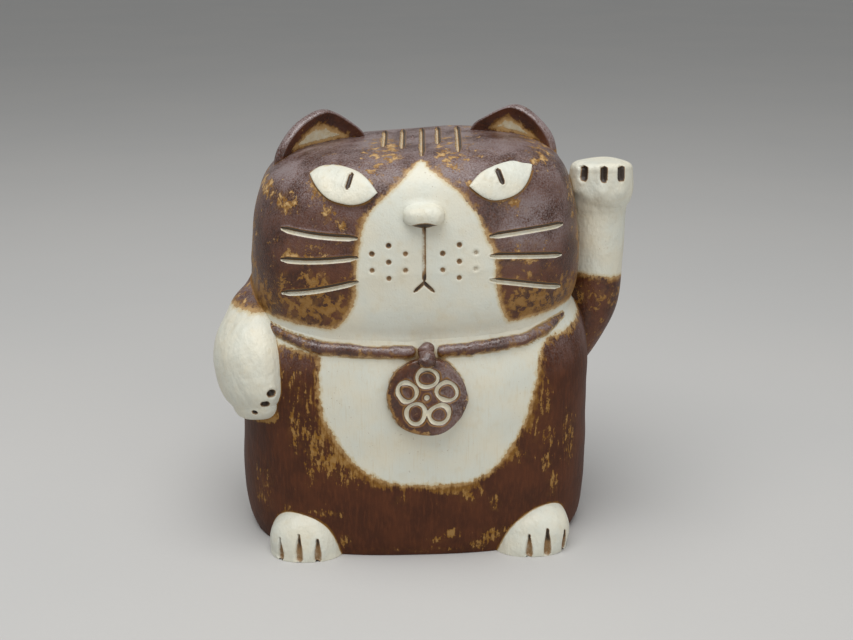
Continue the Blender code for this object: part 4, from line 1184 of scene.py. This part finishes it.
class CAT_OT_collar(Operator):
    """Two flattened rolls under the chin and the bean between them."""

    bl_idname = "cat.collar"
    bl_label = "Collar"

    def execute(self, context):
        collar, body, head = context.scene.cat_collar, body_form(context.scene), head_form(context.scene)
        front = seam_height(body, head, FRONT) - collar.below
        shares = np.linspace(0, 1, 17)
        for name, side in SIDES:
            start = body.front(collar.middle + side * collar.gap, front)
            first, last = math.atan2(start[1], start[0]), FRONT + side * collar.turn
            turns = first + (last - first) * shares
            heights = seam_height(body, head, turns) - collar.below + 2.2 * MM * ramp(shares, 0.55, 1)
            middles = body.spot(turns, heights, collar.proud)
            half = collar.thickness / 2 * (1 - 0.5 * ramp(shares, 0.75, 1))
            piece, way, turn = clay_ball("collar_" + name + "_slipped", 40, 176)
            points = shape(piece, roll_points(way, turn, middles, half, half * 0.95, (0, 0, 1), 0.7, 0.9))
            rolled = unevenness(points, 9 * MM, 0.2 * MM, 21 + side)
            points = push(piece, rolled + unevenness(points, 3.5 * MM, 0.1 * MM, 24))
            # Painted sheen where the roll faces up
            paint(
                piece,
                cream=0.15 - gap_from(points, body, head),
                worn=0.6 * ramp(-upward(piece), 0.1, 0.7),
                bloom=0.8 * ramp(upward(piece), -0.15, 0.55),
            )
            fire(piece, "slip_shiny", "brown_slip", "collar_" + name)

        shares, prouds, sizes = np.array(BAIL).T
        heights = front - 0.2 * MM + shares * (collar.bail_length - collar.bail_width)
        middles = body.front(collar.middle, np.minimum(heights, front), collar.bail_thickness * prouds)
        middles[:, 2] = heights
        wides, deeps = collar.bail_width / 2 * sizes, np.full(len(BAIL), collar.bail_thickness / 2)
        piece, way, turn = clay_ball("collar_bail_slipped", 64, 56)
        points = shape(piece, roll_points(way, turn, middles, wides, deeps, (1, 0, 0)))
        points = push(piece, unevenness(points, 5 * MM, 0.22 * MM, 5))
        # Painted sheen where the bean faces up
        paint(
            piece,
            cream=0.2 - gap_from(points, body, head),
            worn=1.1 * hump(points[:, 2], front - 3.6 * MM, 1.4 * MM),
            bloom=0.5 * ramp(upward(piece), -0.1, 0.6),
        )
        fire(piece, "slip_shiny", "brown_slip", "collar_bail")
        return {"FINISHED"}


# Waves of the medallion's edge: share of its radius, how many go round, and where they start
HAND_CUT = ((0.011, 2, 0.6), (0.008, 5, 0.0), (0.006, 9, 2.0))
MEDALLION_ROOT = 4 * MM


class CAT_OT_medallion(Operator):
    """A hand-cut disc with a blossom pressed into it."""

    bl_idname = "cat.medallion"
    bl_label = "Medallion"

    def execute(self, context):
        collar, body, head = context.scene.cat_collar, body_form(context.scene), head_form(context.scene)
        radius, front, edge = collar.disc / 2, -collar.disc_thickness, collar.disc_bevel
        top = float(seam_height(body, head, FRONT)) - collar.below
        middle = body.front(collar.middle, top - collar.disc_drop)
        above = body.front(collar.middle, middle[2] + radius)
        below = body.front(collar.middle, middle[2] - radius)
        right, up = np.array((1.0, 0.0, 0.0)), unit(above - below)
        inwards = np.cross(up, right)

        # Its profile from the middle of the back to the middle of the front: radius, and how far in
        stations = np.array([
            (0, MEDALLION_ROOT), (radius * 0.97, MEDALLION_ROOT), (radius, 3 * MM), (radius, front + edge),
            (radius - edge * 0.3, front + edge * 0.28), (radius - edge, front), (0, front),
        ])
        run = np.concatenate([[0], np.cumsum(np.linalg.norm(np.diff(stations, axis=0), axis=1))])
        piece, way, turn = clay_ball("medallion_slipped", 176, 104)
        travelled = np.interp(way, (0, 0.06, 0.14, 0.28, 1), (*run[:4], run[-1]))
        size, depth = (np.interp(travelled, run, row) for row in stations.T)
        size = size * (1 + sum(part * np.cos(waves * turn + start) for part, waves, start in HAND_CUT))
        disc = np.outer(size * np.cos(turn), right) + np.outer(size * np.sin(turn), up)
        points = shape(piece, middle + disc + np.outer(depth, inwards))

        face = middle - inwards * collar.disc_thickness
        marks = np.linalg.norm(points - face, axis=1) / (collar.line * 0.8)
        steps = np.linspace(0, 2 * np.pi, 25)
        for index in range(collar.petals):
            turned = math.radians(90) + 2 * math.pi * index / collar.petals
            orbit = collar.orbit * (1 + 0.04 * math.sin(index * 2.3))
            heart = face + right * orbit * math.cos(turned) + up * orbit * math.sin(turned)
            wobble = 0.07 * np.cos(2 * steps + index * 1.7) + 0.03 * np.cos(3 * steps - index)
            loop = collar.petal / 2 * (1 + wobble)
            ring = heart + np.outer(loop * np.cos(steps), right) + np.outer(loop * np.sin(steps), up)
            marks = np.minimum(marks, from_line(points, ring)[0] / (collar.line / 2))
        marks = marks * (1 + 0.22 * unevenness(points, 4 * MM, 1.0, 10))
        uneven = unevenness(points, 9 * MM, 0.16 * MM, 8) + unevenness(points, 3 * MM, 0.06 * MM, 9)
        points = push(piece, uneven - dent(marks, 0.85 * MM, 0.2 * MM))

        aside, aloft = (points - face) @ right, (points - face) @ up
        rim = ramp(np.hypot(aside, aloft), radius - 2.2 * MM, radius - 0.4 * MM)
        lower_left = ramp(-(0.8 * aside + 0.4 * aloft) / radius, -0.1, 0.9)
        # Painted sheen on the disc's right side
        paint(
            piece,
            inlay=1.15 * ramp(marks, 1.05, 0.45),
            iron=0.55 * hump(marks, 1.3, 0.3),
            worn=rim * (0.35 + 0.75 * lower_left),
            bloom=0.55 * ramp(aside / radius, -0.3, 0.8),
            contact=np.maximum(gap_from(points, body), 0),
        )
        fire(piece, "slip_shiny", "brown_slip", "medallion")
        return {"FINISHED"}


# Each foot by its outward lean, as a slope, and how far its toe lines are out in millimetres
FEET = {"left": (0.08, 2.8), "right": (0.26, 4.9)}


class CAT_OT_feet(Operator):
    """Domed pads at the foot of the body, each with three pressed toe lines."""

    bl_idname = "cat.feet"
    bl_label = "Feet"

    def execute(self, context):
        scene = context.scene
        limbs, lines, body = scene.cat_limbs, scene.cat_lines, body_form(scene)
        level = 0.12 * limbs.foot_height
        form = Form(
            limbs.foot_width / 2, limbs.foot_length / 2, level, limbs.foot_height - level,
            0.5 * limbs.foot_height, 2.3, 2.1, 4.0,
        )
        spread, back = body.half_width - limbs.foot_side, body.half_depth - limbs.foot_front
        for name, side in SIDES:
            piece = clay_block("foot_" + name + "_glazed", 60)
            splay, toes_out = FEET[name][0], FEET[name][1] * MM

            def placed(points):
                splayed = side * (spread + splay * points[..., 2])
                return points + np.stack([splayed, 0 * splayed - back, 0 * splayed], -1)

            move_points(piece, placed(form.onto(points_of(piece))))
            cut_at_floor()
            points = points_of(piece)
            marks, shaded = np.full(len(points), FAR), np.full(len(points), FAR)
            for index in (-1, 0, 1):
                x = index * limbs.foot_pitch + side * toes_out
                heights = limbs.foot_line * (1.1 if index == 0 else 0.9) * np.linspace(0.14, 1, 6)
                line = placed(form.front(x - side * splay * heights, heights))
                narrow = 0.30 + 0.80 * ramp(points[:, 2], heights[-1], 0.3 * heights[-1])
                reach = lines.toe_width / 2 * narrow
                marks = np.minimum(marks, from_line(points, line)[0] / reach)
                shaded = np.minimum(shaded, from_line(points, line + TOE_SHADE_SHIFT)[0] / reach)
            bumpy = unevenness(points, 12 * MM, 0.18 * MM, 31 + side) * ramp(points[:, 2], 0, 2 * MM)
            push(piece, bumpy - dent(marks, lines.toe_depth))
            points = set_down(piece)
            low = ramp(points[:, 2], 7.5 * MM, 3.5 * MM)
            # Iron with painted shade in the toe lines, right of their middles
            paint(
                piece,
                cream=FAR,
                iron=(0.9 - 0.44 * low) * ramp(shaded, 1.2, 0.6),
                contact=np.maximum(gap_from(points, body), 0),
            )
            fire(piece, "glaze_and_slip", "cream_glaze", "foot_" + name)
        return {"FINISHED"}


class CAT_OT_raised_arm(Operator):
    """The beckoning arm: a roll that turns up beside the head, its paw blunt with three toe lines."""

    bl_idname = "cat.raised_arm"
    bl_label = "Raised arm"

    def execute(self, context):
        limbs, lines = context.scene.cat_limbs, context.scene.cat_lines
        body, head = body_form(context.scene), head_form(context.scene)
        side = body.half_width + limbs.arm_out
        arm, deep = limbs.forearm_width / 2, limbs.forearm_depth / 2
        paw, paw_deep, curl = limbs.paw_width / 2, limbs.paw_depth / 2, limbs.paw_curl
        out = side + paw * 0.055
        tall = limbs.paw_top - limbs.wrist
        flat_top = limbs.paw_top - paw * limbs.paw_blunt * 0.96
        bend = limbs.arm_root + (limbs.elbow - limbs.arm_root) * 0.45

        # From the root up: the middle, half the width and half the depth
        stations = np.array([
            (side - arm * 0.85, 0, limbs.arm_root, arm * 0.75, deep * 0.8),
            (side - arm * 0.4, 0, bend, arm * 0.88, deep * 0.95),
            (side - arm * 0.06, 0, limbs.elbow, arm, deep),
            (side, 0, (limbs.elbow + limbs.wrist) / 2, arm, deep),
            (side, 0, limbs.wrist, arm, deep * 0.97),
            (side, -curl * 0.4, limbs.wrist + tall * 0.29, paw * 0.94, deep * 1.02),
            (out, -curl, limbs.wrist + tall * 0.52, paw, paw_deep * 0.98),
            (out, -curl - paw_deep * 0.08, flat_top, paw * 0.97, paw_deep * 0.88),
        ])
        middles, wides, deeps = stations[:, :3], stations[:, 3], stations[:, 4]
        piece, way, turn = clay_ball("raised_arm_glazed", 176, 176)
        points = roll_points(way, turn, middles, wides, deeps, (1, 0, 0), blunt_end=limbs.paw_blunt)
        high = ramp(points[:, 2], flat_top - 8 * MM, flat_top)
        points[:, 2] -= 0.2 * (points[:, 1] + curl) * high
        x, y, z = shape(piece, points).T
        behind = (y > 2 * MM) & (z > limbs.wrist - 4 * MM) & (z < flat_top)
        on_chosen(piece, "VERT", behind, (bpy.ops.mesh.vertices_smooth, {"factor": 0.5, "repeat": 80}))

        points = points_of(piece)
        x, y, z = points.T
        facing, above = ramp(-normals_of(piece)[:, 1], 0.1, 0.9), ramp(upward(piece), 0.5, 0.9)
        slots = out + limbs.paw_shift + limbs.paw_pitch * np.array((-1, 0, 1))
        across = np.abs(x[:, None] - slots).min(1)
        shade_across = np.abs(x[:, None] - slots - TOE_SHADE_SHIFT[0]).min(1)
        half = lines.toe_width / 2
        along = np.maximum(np.abs(z - flat_top - 0.9 * MM) - limbs.paw_line / 2 + half, 0)
        away = np.where(y < 0, 1.2 * above, FAR)
        marks, shaded = np.hypot(across, along) / half + away, np.hypot(shade_across, along) / half + away
        fold = hump(z, flat_top - 6.0 * MM, 2.0 * MM)
        toes = np.cos((x - out - limbs.paw_shift) / limbs.paw_pitch * 2 * np.pi)
        shift = unevenness(points, 16 * MM, 0.22 * MM, 41) - dent(marks, lines.toe_depth)
        points = push(piece, shift + fold * facing * (0.2 + 0.25 * toes) * MM)
        x, y, z = points.T
        low = ramp(z, limbs.sock + 2 * MM, limbs.arm_root + 2 * MM)
        # Iron with painted shade in the toe lines, right of their middles
        paint(
            piece,
            cream=(z - limbs.sock + 0.12 * (x - side)) / MM,
            iron=1.05 * ramp(shaded, 1.15, 0.65),
            worn=0.35 * low + 0.5 * hump(z, limbs.elbow + 2 * MM, 5 * MM),
            contact=np.maximum(gap_from(points, head, body), 0),
        )
        fire(piece, "glaze_and_slip", "cream_glaze", "raised_arm")
        return {"FINISHED"}


# Path of the lowered arm: share of its height, turn in plan in degrees, millimetres out of the
# body and share of its width
DROP_PATH = (
    (1.00, 189.0, -8.6, 0.26), (0.86, 191.0, -7.0, 0.40), (0.72, 195.0, -4.0, 0.60),
    (0.58, 200.0, -1.6, 0.85), (0.44, 204.0, -0.3, 1.00), (0.30, 206.0, 0.0, 1.00),
    (0.18, 207.6, 0.0, 0.88), (0.10, 208.5, 0.0, 0.69),
)
DROP_ACROSS = np.array((-0.485, 0.874, 0))

# Its pressed holes: height in millimetres, how far round it in degrees, and share of the diameter
DROP_HOLES = ((57.2, 0, 1.0), (52.5, 14, 0.95), (49.6, 40, 0.7))
DROP_HOLE_DEPTH = 1.7 * MM


class CAT_OT_lowered_arm(Operator):
    """The resting arm: a drop of clay over the front corner, brushed from its shoulder to its toes."""

    bl_idname = "cat.lowered_arm"
    bl_label = "Lowered arm"

    def execute(self, context):
        limbs, body, head = context.scene.cat_limbs, body_form(context.scene), head_form(context.scene)
        shares, turns, outs, sizes = np.array(DROP_PATH).T
        turns = np.radians(turns)
        reach = body.reach(turns) + outs * MM
        heights = limbs.drop_tip + (limbs.drop_top - limbs.drop_tip) * shares
        middles = np.stack([reach * np.cos(turns), reach * np.sin(turns), heights], -1)
        wides, deeps = limbs.drop_width / 2 * sizes, limbs.drop_depth / 2 * sizes
        piece, way, turn = clay_ball("lowered_arm_glazed", 200, 128)
        points = shape(piece, roll_points(way, turn, middles, wides, deeps, DROP_ACROSS, blunt_end=0.75))

        forwards = -unit(DROP_ACROSS)
        outwards = np.cross(forwards, (0, 0, 1))
        marks = np.full(len(points), FAR)
        for height, lean, size in DROP_HOLES:
            position = np.array([np.interp(-height * MM, -heights, np.arange(len(heights)))])
            middle, wide, thick = (smooth_between(rows, position)[0] for rows in (middles, wides, deeps))
            lean = math.radians(lean)
            hole = middle + forwards * wide * math.cos(lean) + outwards * thick * math.sin(lean)
            hole = points[np.argmin(np.linalg.norm(points - hole, axis=1))]
            flattened = (points - hole) * (1, 1, 1.25)
            marks = np.minimum(marks, np.linalg.norm(flattened, axis=1) / (limbs.drop_hole / 2 * size))
        bend = 1.3 * np.sin(way * 9) + 0.8 * np.sin(way * 23 + turn * 2)
        creases = np.sin(turn * 34 + bend * 3) * np.sin(turn * 13 + bend + 1)
        creases = creases + 0.7 * np.sin(turn * 21 - bend * 2)
        from_top, from_tip = limbs.drop_top - points[:, 2], points[:, 2] - limbs.drop_tip
        creased = ramp(from_top, 6 * MM, 18 * MM) * ramp(from_tip, 0, 7 * MM)
        shift = unevenness(points, 15 * MM, 0.3 * MM, 51) - dent(marks, DROP_HOLE_DEPTH)
        points = push(piece, shift + 0.035 * MM * creases * creased)
        from_tip = points[:, 2] - limbs.drop_tip
        # Painted sheen where the arm faces up
        paint(
            piece,
            cream=np.minimum(limbs.drop_sleeve - points[:, 2], from_tip + 0.8 * MM) / MM,
            iron=1.05 * ramp(marks, 1.15, 0.6),
            worn=0.35 + 0.3 * ramp(from_tip, 7 * MM, 1 * MM),
            bloom=0.6 * ramp(upward(piece), 0.2, 0.9),
            contact=np.maximum(gap_from(points, head, body), 0),
        )
        fire(piece, "glaze_and_slip", "cream_glaze", "lowered_arm")
        return {"FINISHED"}


# From where to where the tail curls round the back, in degrees
TAIL_TURNS = (102, 68)


class CAT_OT_tail(Operator):
    """A short roll that curls up the back from the base."""

    bl_idname = "cat.tail"
    bl_label = "Tail"

    def execute(self, context):
        limbs, body = context.scene.cat_limbs, body_form(context.scene)
        part = np.linspace(0, 1, 5)
        turns = np.radians(np.linspace(*TAIL_TURNS, len(part)))
        heights = limbs.tail_root + (limbs.tail_tip - limbs.tail_root) * part**2
        half = limbs.tail_thickness / 2 * (1 - 0.25 * part)
        middles = body.spot(turns, heights, half * 0.25)
        piece, way, turn = clay_ball("tail_slipped", 72, 104)
        points = shape(piece, roll_points(way, turn, middles, half, half, (0, 1, 0)))
        points = push(piece, unevenness(points, 10 * MM, 0.15 * MM, 61))
        # Painted sheen where the tail faces up
        paint(
            piece,
            cream=(ramp(points[:, 0], 8 * MM, 16 * MM) - 0.55) * 8,
            worn=0.4,
            bloom=0.4 * ramp(upward(piece), 0, 0.8),
            contact=np.maximum(gap_from(points, body), 0),
        )
        fire(piece, "slip_brushed", "brown_slip", "tail")
        return {"FINISHED"}


def applied_pieces():
    """The pieces that are pressed onto the body and the head."""
    found = []
    for piece in bpy.context.scene.objects:
        if piece.type == "MESH" and "contact" in piece.data.attributes and piece.name != "body_slipped":
            found.append(piece)
    return found


class CAT_OT_body(Operator):
    """The body with its cream belly, open below for the base slab."""

    bl_idname = "cat.body"
    bl_label = "Body"

    def execute(self, context):
        scene = context.scene
        sizes, body, head = scene.cat_body, body_form(scene), head_form(scene)
        others = applied_pieces()
        piece = clay_block("body_slipped", sizes.quads)
        move_points(piece, body.onto(points_of(piece)))
        cut_at_floor()

        # The recess and the hollow above it, their walls then moved to follow the outside
        floor, hollow = 0.01 * MM, 30 * MM
        facing_down = rows_of(piece.data.polygons, "normal")[:, 2] < -0.99
        on_chosen(
            piece, "FACE", facing_down & (face_middles(piece)[:, 2] < floor),
            (bpy.ops.mesh.inset, {"thickness": sizes.wall, "depth": 0}),
            (bpy.ops.mesh.extrude_region_move, {"TRANSFORM_OT_translate": {"value": (0, 0, sizes.base)}}),
            (bpy.ops.mesh.extrude_region_move, {"TRANSFORM_OT_translate": {"value": (0, 0, hollow)}}),
        )
        points = points_of(piece)
        x, y, z = points.T
        within_wall = (body.clearance(points) < -sizes.wall * 0.5) & (z < sizes.base + hollow + MM)
        wall = body.grown(-sizes.wall).radius(turn_of(points), z)
        points[:, :2] *= np.where(within_wall, wall / np.maximum(np.hypot(x, y), 1e-6), 1.0)[:, None]
        points = move_points(piece, points)

        outside = ~within_wall & (points[:, 2] > floor)
        fillet = welded(piece, body.clearance, head.clearance, scene.cat_head.seam)
        near = nearest_gap(points, others)
        smear = 0.35 * MM * np.clip(1 - near / 1.6, 0, 1) ** 2
        settled = ramp(points[:, 2], 0, 4 * MM)
        push(piece, np.where(outside, fillet + (smear + hand(points)) * settled, 0))
        points = set_down(piece)

        x, _, z = points.T
        below_seam = (seam_height(body, head, turn_of(points)) - z) / MM
        below_top = (body.level + body.rise - z) / MM
        round_by = degrees_from_front(points)
        band = 5.9 - 1.0 * ramp(round_by, 20, 45) - 2.6 * ramp(round_by, 60, 100) - below_seam
        arm_tip = hump(z, scene.cat_limbs.drop_tip + 0.5 * MM, 3 * MM) * (x < -35 * MM)
        # Painted sheen on the shoulders, round from the belly
        worn_tip = 1.6 * arm_tip * ramp(near, 2.4, 0.6)
        paint(
            piece,
            cream=np.where(outside, np.maximum(within(points, BELLY, body), band), -FAR),
            worn=0.85 * wear(points, BODY_WEAR, 91) + 0.05 + worn_tip,
            contact=near,
            bloom=0.7 * ramp(below_top, 22, 2) * ramp(round_by, 30, 50),
        )
        fire(piece, "slip_brushed", "brown_slip", "body_shell")
        return {"FINISHED"}


# How far in front of the crown's middle each forehead stripe ends, from left to right
STRIPE_FRONTS = (15, 18, 27, 14, 25)

# Each whisker line: its inner end above the head's widest level, and the rise of its outer end
WHISKERS = ((11.3, 1.2), (5.2, -2.3), (-2.5, -5.3))

# Each whisker dot of one side: steps across and up from the middle one, and how much iron it has
DOTS = ((0, 0, 0.66), (0, 2, 0.72), (1, 1, 0.54), (1, -1, 0.50), (0, -2, 0.62), (-1, -1, 0.54), (-1, 1, 0.72))


def face_marks(lines, head, middle_x):
    """Whiskers, stripes and mouth as lines on the head, and the whisker dots with their tones."""
    whiskers, stripes, dots = [], [], []
    shares = np.linspace(0, 1, 9)
    for _, side in SIDES:
        for rise, lift in WHISKERS:
            x = middle_x + side * (lines.whisker_inner + (lines.whisker_outer - lines.whisker_inner) * shares)
            sag = 0.35 * MM * np.sin(shares * np.pi) * side
            whiskers.append(head.front(x, head.level + (rise + lift * shares) * MM + sag))
        for across, up, tone in DOTS:
            x = middle_x + side * lines.dot_spread + across * lines.dot_across
            place = head.front(x, head.level + lines.dot_rise + up * lines.dot_up)
            if side > 0:
                tone -= 0.20 if across > 0 else 0.06
            dots.append((place, tone))
    for index, front in enumerate(STRIPE_FRONTS):
        y = lines.stripe_back - (lines.stripe_back + front * MM) * shares
        fan = 0.034 + 0.007 * index
        stripes.append(head.crown(middle_x + (index - 2) * lines.stripe_pitch + fan * (y + front * MM), y))
    top = head.level + lines.mouth_top
    spread = 2 * shares - 1
    bent = top - lines.mouth_length - np.abs(spread) * lines.mouth_fall
    mouth = [
        head.front(middle_x + 0 * shares, top - lines.mouth_length * shares),
        head.front(middle_x + spread * lines.mouth_spread, bent),
    ]
    return whiskers, stripes, mouth, dots


def cream_lines(points, drawn, width):
    """How near points are to lines that hold cream, and the same with the side as its sign.

    Both are shares of a line's half width. The sign is above 0 above a whisker and right of a stripe.
    """
    nearest, sided = np.full(len(points), FAR), np.full(len(points), FAR)
    for line in drawn:
        marks = pressed(points, line, width)
        closer = marks < nearest
        nearest = np.where(closer, marks, nearest)
        if abs(line[-1, 0] - line[0, 0]) > 10 * MM:
            order = np.argsort(line[:, 0])
            side = points[:, 2] - np.interp(points[:, 0], line[order, 0], line[order, 2])
        else:
            side = points[:, 0] - np.interp(-points[:, 1], -line[:, 1], line[:, 0])
        sided = np.where(closer, marks * np.sign(side), sided)
    return nearest, sided


def iron_marks(points, mouth, dots, lines, head, middle_x):
    """How near points are to the mouth and the dots, as shares of their half width, and the iron there."""
    nearest, stain_and_shade = np.full(len(points), FAR), np.zeros(len(points))
    up = (points[:, 2] - head.level) / MM
    lip = 0.30 + 0.42 * ramp(up, 1.5, -1.5) + 0.3 * ramp(up, 12, 15)
    lip += 0.35 * hump(points[:, 0], middle_x + 0.5 * MM, 0.3 * MM)
    for line, width in zip(mouth, (0.95, 0.85)):
        marks = pressed(points, line, lines.width * width, 0.1)
        nearest = np.minimum(nearest, marks)
        stain_and_shade = np.maximum(stain_and_shade, lip * ramp(marks, 1.05, 0.5))
    for place, tone in dots:
        marks = np.linalg.norm(points - place, axis=1) / (lines.dot / 2)
        nearest = np.minimum(nearest, marks)
        stain_and_shade = np.maximum(stain_and_shade, tone * ramp(marks, 1.25, 0.45))
    return nearest, stain_and_shade


def shaded_below_eyes(points, near, stain_and_shade, scene, head):
    """The gaps and the iron, with painted shade along the joints below the eyes and paler joints above them.
    """
    for name, side in SIDES:
        rise, slant = EYES[name][0], EYES[name][3]
        x = scene.cat_head.middle + side * scene.cat_face.eye_spread
        line = head.level + rise * MM + head.lean * x
        line = line + math.tan(side * math.radians(slant)) * (points[:, 0] - x)
        under = ramp(line - points[:, 2], -0.5 * MM, 2.5 * MM)
        by_eye = np.abs(points[:, 0] - x) < 13 * MM
        near = np.where(by_eye, near + 0.45 - 0.75 * under, near)
        stain_and_shade = np.where(by_eye, np.maximum(stain_and_shade, 0.8 * under * ramp(near, 0.35, -0.2)), stain_and_shade)
    return near, stain_and_shade


class CAT_OT_head(Operator):
    """The head with its cream blaze, whiskers, dots, mouth and forehead stripes."""

    bl_idname = "cat.head"
    bl_label = "Head"

    def execute(self, context):
        scene = context.scene
        sizes, lines, body, head = scene.cat_head, scene.cat_lines, body_form(scene), head_form(scene)
        others = applied_pieces()
        noses = [other for other in others if other.name.startswith("nose")]
        whiskers, stripes, mouth, dots = face_marks(lines, head, sizes.middle)
        piece = clay_block("head_slipped", sizes.quads)
        for reach in (2.6 * MM, 1.7 * MM):
            middles = head.onto(face_middles(piece))
            near = np.full(len(middles), FAR)
            for line in whiskers + stripes + mouth:
                near = np.minimum(near, from_line(middles, line)[0])
            for place, _ in dots:
                near = np.minimum(near, np.linalg.norm(middles - place, axis=1))
            on_chosen(piece, "FACE", near < reach, (bpy.ops.mesh.subdivide, {"number_cuts": 1}))
        points = move_points(piece, head.onto(points_of(piece)))
        cream_marks, sided = cream_lines(points, whiskers + stripes, lines.width)
        dark_marks, stain_and_shade = iron_marks(points, mouth, dots, lines, head, sizes.middle)

        nose, middle = nose_form(scene), nose_place(scene, head)
        fillet = welded(piece, head.clearance, body.clearance, sizes.seam)
        reach = nose_reach(points, middle)
        bridge = welded(piece, head.clearance, lambda spots: nose.clearance(spots - middle), reach)
        near = nearest_gap(points, [other for other in others if other not in noses])
        # Painted shadow below the nose
        below_nose = nearest_gap(points, noses)
        below_nose += 4 * ramp(points[:, 2], middle[2] - 2.2 * MM, middle[2] - 1.2 * MM)
        below_nose += 0.7 * ((points[:, 0] - middle[0]) / NOSE_BOW) ** 2
        stain_and_shade = np.maximum(stain_and_shade, 0.95 * ramp(below_nose, 0.8, 0.1))
        smear = 0.3 * MM * np.clip(1 - near / 1.8, 0, 1) ** 2
        near, stain_and_shade = shaded_below_eyes(points, near, stain_and_shade, scene, head)
        dents = dent(cream_marks, lines.depth, 0.16 * MM) + dent(dark_marks, lines.depth * 0.8, 0.05 * MM)
        points = push(piece, fillet + bridge + smear + hand(points) - dents)

        out, up = points[:, 0] / MM, (points[:, 2] - head.level) / MM
        above_seam = (points[:, 2] - seam_height(body, head, turn_of(points))) / MM
        band = 3.4 - 2.2 * ramp(degrees_from_front(points), 50, 95) - above_seam
        cream = np.maximum(within(points, BLAZE, head), band)
        # Painted shade along the upper side of a whisker line and the right side of a stripe
        groove_shade = 1.25 * hump(sided, 0.82, 0.58)
        on_crown = ramp(up, 27, 31)
        in_stripe = ramp(np.abs(sided + 0.28), 0.85, 0.5) * on_crown
        in_whisker = ramp(np.abs(sided + 0.5), 0.8, 0.4) * (1 - on_crown)
        # Painted sheen on what faces up, and a painted highlight on the right cheek
        sheen = 0.95 * ramp(upward(piece), -0.1, 0.75) * ramp(up, -5, 15)
        lit_cheek = hump(out, 38, 12) * hump(up, 15, 9) * (points[:, 1] < 0)
        cheek_sheen = 0.25 * ramp(up, -7, 15) + 0.9 * lit_cheek
        paint(
            piece,
            cream=cream,
            worn=wear(points, HEAD_WEAR, 92) + 0.06 + 1.4 * in_stripe,
            inlay=1.2 * in_whisker + 0.5 * in_stripe,
            iron=np.maximum(stain_and_shade, groove_shade * ramp(-cream, -2.5, 0.5)),
            contact=near,
            bloom=np.maximum(sheen, cheek_sheen) * (1 - 0.8 * ramp(np.abs(out), 49, 56)),
        )
        fire(piece, "slip_satin", "brown_slip", "head_shell")
        return {"FINISHED"}


class CAT_OT_base(Operator):
    """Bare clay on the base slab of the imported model."""

    bl_idname = "cat.base"
    bl_label = "Base"

    def execute(self, context):
        slab = frame["nodes"]["base_slab"]
        material = bare_clay("bare_stoneware", context.scene.cat_glaze)
        for slot in slab.material_slots:
            slot.material = material
        return {"FINISHED"}


# Each lamp by its size and its place, in metres, and the spot that both look at
LAMPS = {"key_lamp": (0.75, (-0.10, -0.22, 0.85)), "front_lamp": (0.60, (0.42, -0.72, 0.24))}
LAMP_AIM = Vector((0, 0, 0.06))
SKY_COLOUR = (0.97, 0.985, 1.0, 1.0)
FLOOR_CLOUDS = (0.55, 0.54, 0.52, 1.0)
FLOOR_SIDE = 16
FILM_WIDTH = 36


class CAT_OT_stage(Operator):
    """Pale floor, soft lamps and the camera."""

    bl_idname = "cat.stage"
    bl_label = "Stage"

    def execute(self, context):
        scene = context.scene
        stage = scene.cat_stage
        bpy.ops.object.select_all(action="DESELECT")
        bpy.ops.mesh.primitive_plane_add(size=FLOOR_SIDE)
        floor = start_piece("floor")
        finish = Finish("floor_paper")
        tint = finish.mix(finish.noise(180.0).ramp(0.2, 0.8), stage.floor, FLOOR_CLOUDS)
        floor.data.materials.append(finish.close(tint, 0.9, finish.noise(2.0) * 0.05, 0.2))

        world = bpy.data.worlds.new("sky")
        scene.world = world
        world.use_nodes = True
        sky = world.node_tree.nodes["Background"].inputs
        sky["Color"].default_value = SKY_COLOUR
        sky["Strength"].default_value = stage.world
        for (name, (size, place)), power in zip(LAMPS.items(), (stage.key, stage.fill)):
            bpy.ops.object.light_add(type="AREA", location=place)
            lamp = bpy.context.object
            lamp.name = name
            lamp.data.energy = power
            lamp.data.size = size
            lamp.rotation_euler = (LAMP_AIM - Vector(place)).to_track_quat("-Z", "Y").to_euler()

        bpy.ops.object.camera_add(location=(stage.sideways, -stage.distance, stage.height))
        camera = bpy.context.object
        camera.rotation_euler = (math.radians(90) - stage.pitch, 0, stage.turn)
        camera.data.sensor_width = FILM_WIDTH
        camera.data.lens = stage.lens
        scene.camera = camera
        scene.view_settings.view_transform = "Standard"
        return {"FINISHED"}


class CAT_PT_panel(Panel):
    """Lists the steps that build the figurine."""

    bl_idname = "CAT_PT_panel"
    bl_label = "Lucky Cat Stoneware"
    bl_space_type = "VIEW_3D"
    bl_region_type = "UI"
    bl_category = "Lucky Cat"

    def draw(self, context):
        for step in STEPS:
            self.layout.operator(step.bl_idname)


GROUPS = {
    "cat_body": CatBody,
    "cat_head": CatHead,
    "cat_lines": CatLines,
    "cat_face": CatFace,
    "cat_collar": CatCollar,
    "cat_limbs": CatLimbs,
    "cat_glaze": CatGlaze,
    "cat_stage": CatStage,
}
STEPS = (
    CAT_OT_eyes,
    CAT_OT_nose,
    CAT_OT_ears,
    CAT_OT_collar,
    CAT_OT_medallion,
    CAT_OT_feet,
    CAT_OT_raised_arm,
    CAT_OT_lowered_arm,
    CAT_OT_tail,
    CAT_OT_body,
    CAT_OT_head,
    CAT_OT_base,
    CAT_OT_stage,
)


def register():
    for group in GROUPS.values():
        bpy.utils.register_class(group)
    for step in STEPS:
        bpy.utils.register_class(step)
    bpy.utils.register_class(CAT_PT_panel)
    for name, group in GROUPS.items():
        setattr(bpy.types.Scene, name, PointerProperty(type=group))


def unregister():
    for name in GROUPS:
        delattr(bpy.types.Scene, name)
    bpy.utils.unregister_class(CAT_PT_panel)
    for step in reversed(STEPS):
        bpy.utils.unregister_class(step)
    for group in reversed(GROUPS.values()):
        bpy.utils.unregister_class(group)


def main():
    register()
    for step in STEPS:
        family, name = step.bl_idname.split(".")
        getattr(getattr(bpy.ops, family), name)()


if __name__ == "__main__":
    main()
